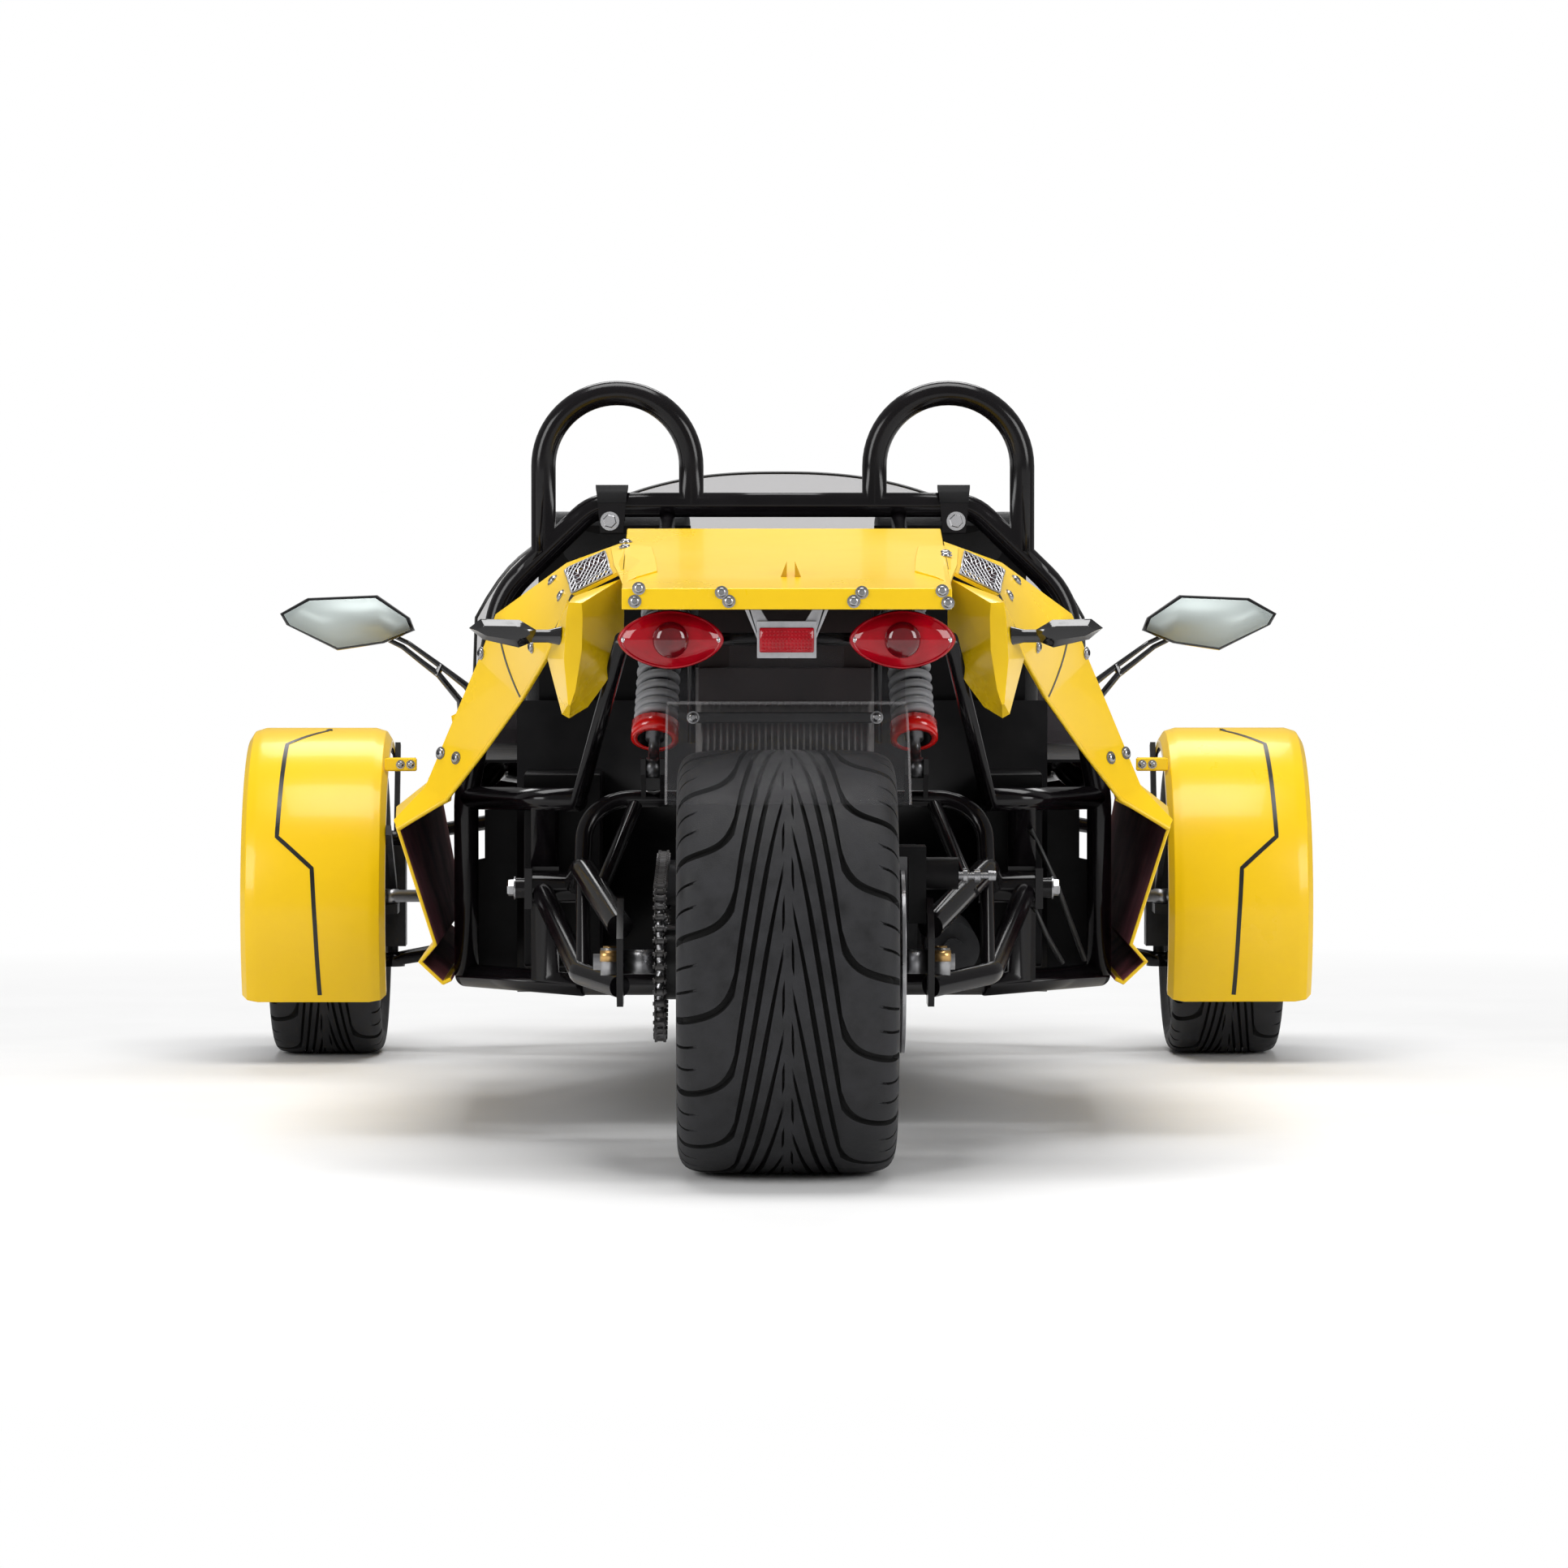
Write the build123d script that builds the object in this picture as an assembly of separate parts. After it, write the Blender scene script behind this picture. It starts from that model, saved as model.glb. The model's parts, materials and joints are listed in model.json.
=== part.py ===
from build123d import *
import os

# A two-seat three-wheeled roadster: two steered wheels ahead, one driven wheel behind.
# Millimetres; +Y is forward, +X the vehicle's right, Z is up from the road.

# Driving sizes
LENGTH = 2550
WIDTH = 1566
WHEELBASE = 1850
TRACK = 1330
REAR_TYRE_D = 518
REAR_TYRE_W = 270
FRONT_TYRE_D = 454
FRONT_TYRE_W = 165
RIM_D = 356
ROLL_BAR_Z = 817
ROLL_TUBE_R = 16
PANEL_WALL = 5
GAP = 0.3

REAR_R = REAR_TYRE_D / 2
FRONT_R = FRONT_TYRE_D / 2
RIM_R = RIM_D / 2
REAR_Y = REAR_R - LENGTH / 2
FRONT_Y = REAR_Y + WHEELBASE
NOSE_Y = LENGTH / 2
WHEEL_X = TRACK / 2
BOTH = (-1, 1)


def rear(y):
    """A place ahead of the rear axle."""
    return REAR_Y + y


def front(y):
    """A place ahead of the front axle."""
    return FRONT_Y + y


def at_rear(point):
    x, y, z = point
    return (x, rear(y), z)


def at_front(point):
    x, y, z = point
    return (x, front(y), z)


def side_of(point, side):
    x, y, z = point
    return (side * x, y, z)


def bar(start, end, radius):
    """A straight round bar."""
    line = Vector(*end) - Vector(*start)
    return Plane(origin=start, z_dir=line) * Cylinder(
        radius, line.length, align=(Align.CENTER, Align.CENTER, Align.MIN))


def bent(points, radius, bends):
    """A round bar along a path with rounded corners."""
    path = FilletPolyline(*points, radius=bends)
    ring = Plane(origin=path @ 0, z_dir=path % 0) * Circle(radius)
    return sweep(ring, path=path)


def block(x0, x1, y0, y1, z0, z1):
    """A box between two corners."""
    return Pos((x0 + x1) / 2, (y0 + y1) / 2, (z0 + z1) / 2) * Box(
        abs(x1 - x0), abs(y1 - y0), abs(z1 - z0))


def across(x0, x1, y, z, radius):
    """A round bar along X."""
    return bar((x0, y, z), (x1, y, z), radius)


def along(x, y0, y1, z, radius):
    """A round bar along Y."""
    return bar((x, y0, z), (x, y1, z), radius)


def upright(x, y, z0, z1, radius):
    """A round bar along Z."""
    return bar((x, y, z0), (x, y, z1), radius)


def slab_x(outline, x0, x1):
    """An outline of (y, z) points made thick along X."""
    face = make_face(Polyline(*[(x0, y, z) for y, z in outline], close=True))
    return extrude(face, amount=abs(x1 - x0), dir=(1 if x1 > x0 else -1, 0, 0))


def slab_y(outline, y0, y1):
    """An outline of (x, z) points made thick along Y."""
    face = make_face(Polyline(*[(x, y0, z) for x, z in outline], close=True))
    return extrude(face, amount=abs(y1 - y0), dir=(0, 1 if y1 > y0 else -1, 0))


def ring_x(profile, x, y, z, turn=360):
    """A closed outline of (x, radius) points turned about a line along X."""
    face = make_face(Polyline(*profile, close=True))
    return Pos(x, y, z) * revolve(face, Axis.X, turn)


def inset(points, wall):
    """The open line of (x, z) points moved to its right by the wall."""
    line = [Vector(x, z) for x, z in points]
    normals = []
    for a, b in zip(line, line[1:]):
        step = (b - a).normalized()
        normals.append(Vector(step.Y, -step.X))
    moved = [line[0] + normals[0] * wall]
    for corner, n0, n1 in zip(line[1:], normals, normals[1:]):
        moved.append(corner + (n0 + n1) * (wall / (1 + n0.dot(n1))))
    moved.append(line[-1] + normals[-1] * wall)
    return [(p.X, p.Y) for p in moved]


def shell(sections, wall):
    """A panel through open (x, z) lines at places along Y, its wall on the right of each line."""
    wires = []
    for y, points in sections:
        loop = points + inset(points, wall)[::-1]
        wires.append(Wire.make_polygon([(x, y, z) for x, z in loop], close=True))
    return Solid.make_loft(wires, ruled=True)


def solid_through(sections):
    """A solid through closed (x, z) outlines at places along Y."""
    wires = [Wire.make_polygon([(x, y, z) for x, z in points], close=True)
             for y, points in sections]
    return Solid.make_loft(wires, ruled=True)


def sheet(stations, wall):
    """A panel between two edges, given as pairs of points, thickened to its inner side."""
    pairs = [(Vector(*a), Vector(*b)) for a, b in stations]
    middles = [(a + b) * 0.5 for a, b in pairs]
    wires = []
    for i, (a, b) in enumerate(pairs):
        before = middles[max(i - 1, 0)]
        after = middles[min(i + 1, len(pairs) - 1)]
        normal = (b - a).cross(after - before).normalized()
        lift = normal * -wall
        wires.append(Wire.make_polygon([a, b, b + lift, a + lift], close=True))
    return Solid.make_loft(wires, ruled=True)


def mirrored(part):
    return mirror(part, about=Plane.YZ)


def pieces(part):
    return list(part.solids())


def joined(parts):
    """Several parts that touch, as one solid."""
    whole = parts[0]
    for part in parts[1:]:
        whole = whole + part
    return whole


def cut(part, *others):
    """The largest piece of a part once others are cut from it."""
    for other in others:
        part = part - other
    return max(pieces(part), key=lambda solid: solid.volume)


nodes = {}


def keep(name, *parts):
    solids = []
    for part in parts:
        solids.extend(pieces(part))
    nodes[name] = solids


# Wheels

LIP = 9
REAR_RIM_HALF = 118
FRONT_RIM_HALF = 70


def tyre(width, outer, bead, seat_half):
    """A tyre about the X axis: flat crown, two-step shoulders, bulged walls."""
    wall = outer - bead
    half = [
        (seat_half, bead),
        (seat_half, bead + LIP),
        (0.478 * width, bead + 0.30 * wall),
        (0.5 * width, bead + 0.52 * wall),
        (0.478 * width, outer - 0.15 * wall),
        (0.42 * width, outer - 0.035 * wall),
        (0.30 * width, outer)]
    return half + [(-x, r) for x, r in half[::-1]]


def rim(half_width, hub_r, hub_from, hub_to, bore, spoke_x, spoke_w):
    """A ten-spoke wheel about the X axis."""
    seat = RIM_R
    barrel = ring_x([
        (-half_width, seat + LIP), (-half_width + 7, seat + LIP), (-half_width + 11, seat),
        (half_width - 11, seat), (half_width - 7, seat + LIP), (half_width, seat + LIP),
        (half_width, seat - 2), (half_width - 16, seat - 11),
        (-half_width + 16, seat - 11), (-half_width, seat - 2)], 0, 0, 0)
    wheel = barrel + across(hub_from, hub_to, 0, 0, hub_r)
    for number in range(5):
        for lean in (-9, 9):
            spoke = slab_y([
                (spoke_x, hub_r - 8), (spoke_x + 24, hub_r - 8),
                (spoke_x + 17, seat - 7), (spoke_x + 3, seat - 7)], -spoke_w / 2, spoke_w / 2)
            wheel = wheel + Rot(72 * number + lean, 0, 0) * spoke
    return wheel - across(hub_from - 1, hub_to + 1, 0, 0, bore)


AXLE_R = 10
SPROCKET_X = -154
REAR_HUB = (SPROCKET_X + 4, 139)
DISC_T = 5
REAR_DISC_R = 112
rear_centre = Pos(0, REAR_Y, REAR_R)
keep("rear_tyre", ring_x(
    tyre(REAR_TYRE_W, REAR_R, RIM_R + GAP, REAR_RIM_HALF - 11.5), 0, REAR_Y, REAR_R))
keep("rear_rim", rear_centre * rim(REAR_RIM_HALF, 46, *REAR_HUB, AXLE_R + 0.1, -12, 26))
TEETH = 36
TOOTH_R = 81
sprocket = across(SPROCKET_X - 3.5, REAR_HUB[0], 0, 0, TOOTH_R - 8) - across(
    SPROCKET_X - 5, REAR_HUB[0] + 1, 0, 0, AXLE_R + 8)
tooth = slab_x([(-6, TOOTH_R - 9), (-2.2, TOOTH_R), (2.2, TOOTH_R), (6, TOOTH_R - 9)],
               SPROCKET_X - 3.5, SPROCKET_X + 3.5)
for number in range(TEETH):
    sprocket = sprocket + Rot(number * 360 / TEETH, 0, 0) * tooth
for number in range(6):
    sprocket = sprocket - Rot(number * 60, 0, 0) * across(
        SPROCKET_X - 5, REAR_HUB[0] + 1, 0, 60, 9)
keep("rear_sprocket", rear_centre * sprocket)


def brake_disc(x0, x1, outer, inner):
    disc = across(x0, x1, 0, 0, outer) - across(x0 - 1, x1 + 1, 0, 0, inner)
    for number in range(6):
        disc = disc - Rot(number * 60, 0, 0) * across(x0 - 1, x1 + 1, 0, 0.66 * outer, 11)
    return disc


keep("rear_disc", rear_centre * brake_disc(REAR_HUB[1], REAR_HUB[1] + DISC_T, REAR_DISC_R, AXLE_R + 8))

STUB_R = 12
FRONT_HUB = (-26, 60)
FRONT_DISC_R = 100
front_rim = rim(FRONT_RIM_HALF, 36, *FRONT_HUB, STUB_R + 0.1, 36, 24) + across(52, 62, 0, 0, 24)
front_disc = brake_disc(FRONT_HUB[0] - DISC_T, FRONT_HUB[0], FRONT_DISC_R, STUB_R + 8)
right_wheel = Pos(WHEEL_X, FRONT_Y, FRONT_R)
for name, flip in (("left", True), ("right", False)):
    made = {
        "tyre": right_wheel * ring_x(
            tyre(FRONT_TYRE_W, FRONT_R, RIM_R + GAP, FRONT_RIM_HALF - 11.5), 0, 0, 0),
        "rim": right_wheel * front_rim,
        "disc": right_wheel * front_disc}
    for what, part in made.items():
        keep(f"{what}_{name}", mirrored(part) if flip else part)

# Front uprights: stub axle, king pins, steering arm and brake caliper, turning as one

KING_X = WHEEL_X - 93
ARM_LOW_Z = 139
ARM_HIGH_Z = 321
PIN_R = 8
STEER_ARM = 90
TIE_Z = FRONT_R + 12
ARM_TOP_Z = TIE_Z - 12
up_x0 = KING_X - 20
up_x1 = KING_X + 18
carrier = block(up_x0, up_x1, front(-24), front(24), ARM_LOW_Z + 21, ARM_HIGH_Z - 11)
carrier = carrier + across(up_x1, up_x1 + 30, FRONT_Y, FRONT_R, 26)
carrier = carrier + across(up_x1, WHEEL_X + 44, FRONT_Y, FRONT_R, STUB_R)
carrier = carrier + upright(KING_X, FRONT_Y, ARM_LOW_Z - 9, ARM_LOW_Z + 22, PIN_R)
carrier = carrier + upright(KING_X, FRONT_Y, ARM_HIGH_Z - 12, ARM_HIGH_Z + 9, PIN_R)
carrier = carrier + block(KING_X - 12, KING_X + 12, front(-STEER_ARM - 14), front(-20),
                          ARM_TOP_Z - 14, ARM_TOP_Z)
disc_x1 = WHEEL_X + FRONT_HUB[0]
disc_x0 = disc_x1 - DISC_T
carrier = carrier + block(up_x1 - 6, disc_x0 - 14, front(20), front(70), FRONT_R + 40, FRONT_R + 66)
front_caliper = block(disc_x0 - 14, disc_x1 + 20, front(36), front(98), FRONT_R + 34, FRONT_R + 112)
slot = block(disc_x0 - 6, disc_x1 + 6, front(30), front(99), FRONT_R, FRONT_R + 101)
front_caliper = front_caliper - slot
carrier = carrier + front_caliper

# Cycle wings that steer with the wheels
WING_R = 258
WING_WALL = 4
WING_DROP = 30
wing_x0 = KING_X
wing_x1 = WIDTH / 2
wing_line = [
    (wing_x0, WING_R - WING_DROP), (wing_x0, WING_R - 18), (wing_x0 + 8, WING_R - 5),
    (wing_x0 + 24, WING_R), (wing_x1 - 24, WING_R), (wing_x1 - 8, WING_R - 5),
    (wing_x1, WING_R - 18), (wing_x1, WING_R - WING_DROP)]
wing_loop = wing_line + inset(wing_line, WING_WALL)[::-1]
wing = revolve(make_face(Polyline(*wing_loop, close=True)), Axis.X, 150)
# it runs from ahead of the crown to low behind the tyre
wing = Pos(0, FRONT_Y, FRONT_R) * (Rot(62, 0, 0) * wing)
stays = []
for angle in (-20, 62):
    stay = slab_x([(-8, 30), (8, 30), (8, WING_R - 12), (-8, WING_R - 12)],
                  wing_x0 - 8 - GAP, wing_x0 - GAP)
    stays.append(Pos(0, FRONT_Y, FRONT_R) * (Rot(angle, 0, 0) * stay))
knuckle = joined([carrier] + stays)
for name, flip in (("left", True), ("right", False)):
    keep(f"knuckle_{name}", mirrored(knuckle) if flip else knuckle)
    keep(f"wing_{name}", mirrored(wing) if flip else wing)

# Frame of round tube, coped where the tubes meet

HOOP_Y = 550
HOOP_X = 412
RAIL_Z = 205
SIDE_Z = 436
BULK_X = 195
BULK_Z = 395
RAIL_R = 15
main_points = [
    (-HOOP_X, rear(HOOP_Y), RAIL_Z), (-HOOP_X, rear(HOOP_Y), SIDE_Z), (-365, rear(HOOP_Y), 700),
    (-245, rear(HOOP_Y), ROLL_BAR_Z), (245, rear(HOOP_Y), ROLL_BAR_Z), (365, rear(HOOP_Y), 700),
    (HOOP_X, rear(HOOP_Y), SIDE_Z), (HOOP_X, rear(HOOP_Y), RAIL_Z)]
main_hoop = bent(main_points, ROLL_TUBE_R, [120, 110, 60, 60, 110, 120])
HEAD_X = 215
HEAD_R = 96
HEAD_TOP = 962
head = []
for side in BOTH:
    legs = [(side * (HEAD_X - HEAD_R), rear(HOOP_Y), ROLL_BAR_Z),
            (side * (HEAD_X - HEAD_R), rear(HOOP_Y), HEAD_TOP),
            (side * (HEAD_X + HEAD_R), rear(HOOP_Y), HEAD_TOP),
            (side * (HEAD_X + HEAD_R), rear(HOOP_Y), ROLL_BAR_Z - 60)]
    head.append(bent(legs, ROLL_TUBE_R, [HEAD_R - 1, HEAD_R - 1]))
roll_hoops = joined([main_hoop] + head)
keep("roll_hoops", roll_hoops)

lower = []
for side in BOTH:
    path = [side_of(at_rear((HOOP_X, HOOP_Y, RAIL_Z)), side), (side * HOOP_X, rear(1180), RAIL_Z),
            side_of(at_front((BULK_X, -170, RAIL_Z)), side),
            side_of(at_front((BULK_X, 250, RAIL_Z)), side)]
    lower.append(bent(path, RAIL_R, [150, 150]))
for y in (rear(760), rear(1120), front(-150), front(230)):
    half = HOOP_X if y < front(-600) else BULK_X
    lower.append(across(-half, half, y, RAIL_Z, RAIL_R - 2))
lower_rails = cut(joined(lower), roll_hoops)
keep("lower_rails", lower_rails)

upper = []
for side in BOTH:
    path = [side_of(at_rear((HOOP_X, HOOP_Y, SIDE_Z)), side), (side * 392, rear(1120), 452),
            side_of(at_front((BULK_X, -150, BULK_Z)), side),
            side_of(at_front((BULK_X, 140, BULK_Z - 26)), side)]
    upper.append(bent(path, RAIL_R, [120, 90]))
    for y, top in ((-130, BULK_Z), (130, BULK_Z - 25)):
        upper.append(upright(side * BULK_X, front(y), RAIL_Z, top, RAIL_R - 1))
for y, z in ((-130, BULK_Z), (130, BULK_Z - 25)):
    upper.append(across(-BULK_X, BULK_X, front(y), z, RAIL_R - 2))
COWL_Y = -540
COWL_R = 11
COWL = {"near": (-330, 565), "far": (-561, 622)}
cowl_slope = (COWL["far"][1] - COWL["near"][1]) / (COWL["near"][0] - COWL["far"][0])
cowl_top = COWL["far"][1] - cowl_slope * (COWL_Y - COWL["far"][0])
cowl_z = cowl_top - (PANEL_WALL + COWL_R + GAP) * (1 + cowl_slope ** 2) ** 0.5
cowl_x = 392 - (392 - BULK_X) * (front(COWL_Y) - rear(1120)) / (front(-150) - rear(1120))
cowl_half = [(cowl_x, 440), (cowl_x, 520), (230, cowl_z)]
cowl_line = [(-x, z) for x, z in cowl_half] + cowl_half[::-1]
upper.append(bent([(x, front(COWL_Y), z) for x, z in cowl_line], COWL_R, [40, 60, 60, 40]))
upper_rails = cut(joined(upper), roll_hoops, lower_rails)
keep("upper_rails", upper_rails)

POST_X = 307
POST_Y = 470
PIVOT_Y = 420
PIVOT_Z = 326
TAIL_X = 200
TAIL_Y = 8
TAIL_Z = 653
DECK_WALL = 4
DECK_REAR = (-60, 716)
DECK_FRONT = (385, 787)
deck_slope = (DECK_FRONT[1] - DECK_REAR[1]) / (DECK_FRONT[0] - DECK_REAR[0])
deck_tilt = (1 + deck_slope ** 2) ** 0.5
TAIL_RAIL_R = 10
TAIL_RAIL_X = 150


def under_deck(y, radius):
    """The height of a bar's middle when it touches the deck from below."""
    top = DECK_REAR[1] + deck_slope * (y - DECK_REAR[0])
    return top - (DECK_WALL + radius + GAP) * deck_tilt


behind = []
posts = []
for side in BOTH:
    posts.append(block(side * (POST_X - 18), side * (POST_X + 18),
                       rear(POST_Y - 22), rear(POST_Y + 22), RAIL_Z, SIDE_Z + 12))
for side in BOTH:
    corner = side_of(at_rear((HOOP_X, HOOP_Y, SIDE_Z)), side)
    knee = side_of(at_rear((262, 400, SIDE_Z + 4)), side)
    behind.append(bar(corner, knee, RAIL_R))
    behind.append(bar(side_of(at_rear((HOOP_X, HOOP_Y, RAIL_Z)), side),
                      side_of(at_rear((258, 430, RAIL_Z - 4)), side), RAIL_R))
    tail_end = side_of(at_rear((TAIL_X, TAIL_Y, TAIL_Z)), side)
    behind.append(bar(knee, tail_end, 10))
behind.append(across(-TAIL_X, TAIL_X, rear(TAIL_Y), TAIL_Z, 8))
ENGINE_Z = 215
behind.append(across(-258, 258, rear(432), RAIL_Z - 4, ENGINE_Z - RAIL_Z + 4 - GAP))
COOL_HALF = 112
COOL_Y = 234
COOL_T = 34
COOL_LOW = 488
COOL_HIGH = 612
for side in BOTH:
    rail_ends = [(side * TAIL_RAIL_X, rear(y), under_deck(y, TAIL_RAIL_R)) for y in (-56, HOOP_Y)]
    behind.append(bar(*rail_ends, TAIL_RAIL_R))
    behind.append(upright(side * TAIL_RAIL_X, rear(TAIL_Y), TAIL_Z, under_deck(TAIL_Y, TAIL_RAIL_R), 7))
    # the cooler hangs from the tail rails on bent rods down its flanks
    hang_y = COOL_Y + COOL_T / 2
    hanger = [(TAIL_RAIL_X, hang_y, under_deck(hang_y, TAIL_RAIL_R)), (COOL_HALF + 5 + GAP, hang_y, 660),
              (COOL_HALF + 5 + GAP, hang_y, COOL_LOW + 30)]
    behind.append(bent([side_of(at_rear(p), side) for p in hanger], 5, [30]))
rear_frame = cut(joined(behind + posts), roll_hoops, lower_rails, upper_rails)
keep("rear_frame", rear_frame)

# Swing arm: two triangulated sides joined by an arch over the tyre's front

PLATE_X = {-1: 199, 1: 172}
PLATE_T = 8
PIVOT_R = 20
arm = []
for side in BOTH:
    plate_x = PLATE_X[side]
    outer = plate_x + PLATE_T
    arm.append(across(side * 250, side * 322, rear(PIVOT_Y), PIVOT_Z, PIVOT_R))
    upper_path = [(266, PIVOT_Y, PIVOT_Z + 6), (254, 240, 360), (outer - 3, 34, 300)]
    lower_path = [(310, PIVOT_Y - 4, PIVOT_Z - 4), (254, 100, 238), (outer - 3, 12, 228)]
    strut = [(254, 240, 358), (250, 96, 240)]
    brace = [(232, 150, 333), (188, 290, 440)]
    for path, radius, bends in ((upper_path, 16, [60]), (lower_path, 14, [40])):
        arm.append(bent([side_of(at_rear(p), side) for p in path], radius, bends))
    for start, end in (strut, brace):
        arm.append(bar(side_of(at_rear(start), side), side_of(at_rear(end), side), 9))
    outline = [(-44, 236), (-30, 206), (30, 206), (74, 250), (74, 318), (58, 336), (14, 336), (-44, 290)]
    arm.append(slab_x([(rear(y), z) for y, z in outline], side * plate_x, side * outer))
ARCH_Y = 292
arch_points = [at_rear((-254, 242, 358)), at_rear((-252, ARCH_Y, 446)),
               at_rear((252, ARCH_Y, 446)), at_rear((254, 242, 358))]
arm.append(bent(arch_points, 11, [60, 60]))
EYE_Y = 262
EYE_Z = 486
EYE_X = 166
for side in BOTH:
    for edge in (-15, 9):
        x0 = side * EYE_X + edge
        ear = [(ARCH_Y - 16, 446), (ARCH_Y + 10, 446), (EYE_Y + 14, EYE_Z + 12),
               (EYE_Y - 14, EYE_Z + 12), (EYE_Y - 14, EYE_Z - 8)]
        arm.append(slab_x([(rear(y), z) for y, z in ear], x0, x0 + 6))
swing_arm = joined(arm) - across(-260, 260, REAR_Y, REAR_R, AXLE_R + 0.1)
keep("swing_arm", swing_arm)
pivots = []
for side in BOTH:
    low_z = PIVOT_Z - 26
    high_z = PIVOT_Z + 26
    cheek = block(side * 322.3, side * 332, rear(PIVOT_Y - 24), rear(POST_Y - 22), low_z, high_z)
    foot = block(side * (POST_X - 18), side * 332, rear(POST_Y - 27), rear(POST_Y - 22), low_z, high_z)
    bolt = across(side * 330, side * 344, rear(PIVOT_Y), PIVOT_Z, 13)
    pivots.append(joined([cheek, foot, bolt]) - swing_arm)
axle = across(-236, 206, REAR_Y, REAR_R, AXLE_R)
for side, inner in ((-1, SPROCKET_X - 5.5), (1, REAR_HUB[1] + DISC_T + 2)):
    plate = side * PLATE_X[side]
    axle = axle + across(inner, plate, REAR_Y, REAR_R, 15)
    nut_from = side * (PLATE_X[side] + PLATE_T)
    axle = axle + across(nut_from, nut_from + side * 20, REAR_Y, REAR_R, 17)
keep("rear_axle", axle)
adjusters = []
for side in BOTH:
    face = side * (PLATE_X[side] + PLATE_T)
    adjusters.append(across(face, face + side * 20, rear(-31), 268, 7))
    adjusters.append(across(face, face + side * 18, rear(52), 268, 7))
keep("chain_adjusters", *adjusters)

# Drive chain and engine

CHAIN_R = 92.5
DRIVE_R = 36
CHAIN_T = 13
CHAIN_W = 20
DRIVE_Y = 470
DRIVE_Z = 330


def loop(change):
    """The outline round both sprockets, grown or shrunk."""
    big = Circle(CHAIN_R + change)
    small = Pos(DRIVE_Y, DRIVE_Z - REAR_R) * Circle(DRIVE_R + change)
    return make_hull(big.edges() + small.edges())


chain_face = loop(CHAIN_T / 2) - loop(-CHAIN_T / 2)
chain_plane = Plane(origin=(SPROCKET_X - CHAIN_W / 2, REAR_Y, REAR_R), x_dir=(0, 1, 0), z_dir=(1, 0, 0))
chain = extrude(chain_plane * chain_face, amount=CHAIN_W)
keep("drive_chain", chain)
ENGINE_X = 138
FLOOR_Z = 176
engine = block(-ENGINE_X, ENGINE_X, rear(345), rear(630), ENGINE_Z, 392)
engine = engine + slab_x([(rear(392), 391), (rear(585), 391), (rear(560), 560), (rear(430), 560)], -80, 80)
engine = engine + across(ENGINE_X, ENGINE_X + 34, rear(500), 300, 78)
engine = engine + across(SPROCKET_X - 8, -ENGINE_X, rear(DRIVE_Y), DRIVE_Z, DRIVE_R - CHAIN_T / 2 - GAP)
MUFFLER_X = 215
muffler = along(MUFFLER_X, rear(345), rear(590), 252, 34) + along(MUFFLER_X, rear(318), rear(345), 252, 14)
muffler = muffler + bar((MUFFLER_X, rear(575), 260), (100, rear(600), 370), 14)
keep("engine", joined([engine, muffler]))

# Rear springs: leaning forward to the tail rails

TOP_Y = 430
EYE_R = 13
top_z = under_deck(TOP_Y, TAIL_RAIL_R) - (TAIL_RAIL_R + EYE_R + GAP) * deck_tilt


def spring_leg(low, high, coil_r, rod_r, turns, cup, along_y=False):
    """A spring and damper along Z from the lower eye: damper, coil, two cups."""
    length = (Vector(*high) - Vector(*low)).length
    start = 0.2 * length
    end = length - 30
    step = (end - start) / turns
    line = [(rod_r + 2, start)]
    for number in range(turns):
        base = start + number * step
        line += [(coil_r, base + 0.25 * step), (coil_r, base + 0.75 * step), (rod_r + 6, base + step)]
    line += [(rod_r + 2, end)]
    coil = revolve(make_face(Polyline(*[(r, 0, z) for r, z in line], close=True)), Axis.Z)
    damper = Pos(0, 0, 0.5 * (start - cup + end)) * Cylinder(rod_r, end - start + cup)
    damper = damper + Pos(0, 0, 0.5 * length) * Cylinder(7, length)
    cups = Pos(0, 0, start - cup) * Cylinder(coil_r + 2, cup, align=(Align.CENTER, Align.CENTER, Align.MIN))
    cups = cups - Pos(0, 0, start - cup - 1) * Cylinder(rod_r + 0.1, cup + 2, align=(
        Align.CENTER, Align.CENTER, Align.MIN))
    # the cup is open below, as seen from behind
    cups = cups - Pos(0, 0, start - cup - 1) * Cylinder(coil_r - 6, 0.6 * cup + 1, align=(
        Align.CENTER, Align.CENTER, Align.MIN))
    place = Plane(origin=low, z_dir=Vector(*high) - Vector(*low))
    eyes = [Pos(*end) * (Rot(0, 90, 0) * Cylinder(EYE_R, 17)) for end in (low, high)]
    if along_y:
        eyes = [Pos(*end) * (Rot(90, 0, 0) * Cylinder(EYE_R, 17)) for end in (low, high)]
    return place * coil, joined([place * damper] + eyes), place * cups


coils = []
dampers = []
cups = []
for side in BOTH:
    low = side_of(at_rear((EYE_X, EYE_Y, EYE_Z)), side)
    high = side_of(at_rear((TAIL_RAIL_X, TOP_Y, top_z)), side)
    coil, damper, cup = spring_leg(low, high, 28, 12, 14, 22)
    coils.append(cut(coil, damper, rear_frame))
    dampers.append(cut(damper, rear_frame, swing_arm))
    cups.append(cut(cup, swing_arm))

# Front suspension: two wishbones a side, legs cut to the rails, and a spring between them

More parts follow.
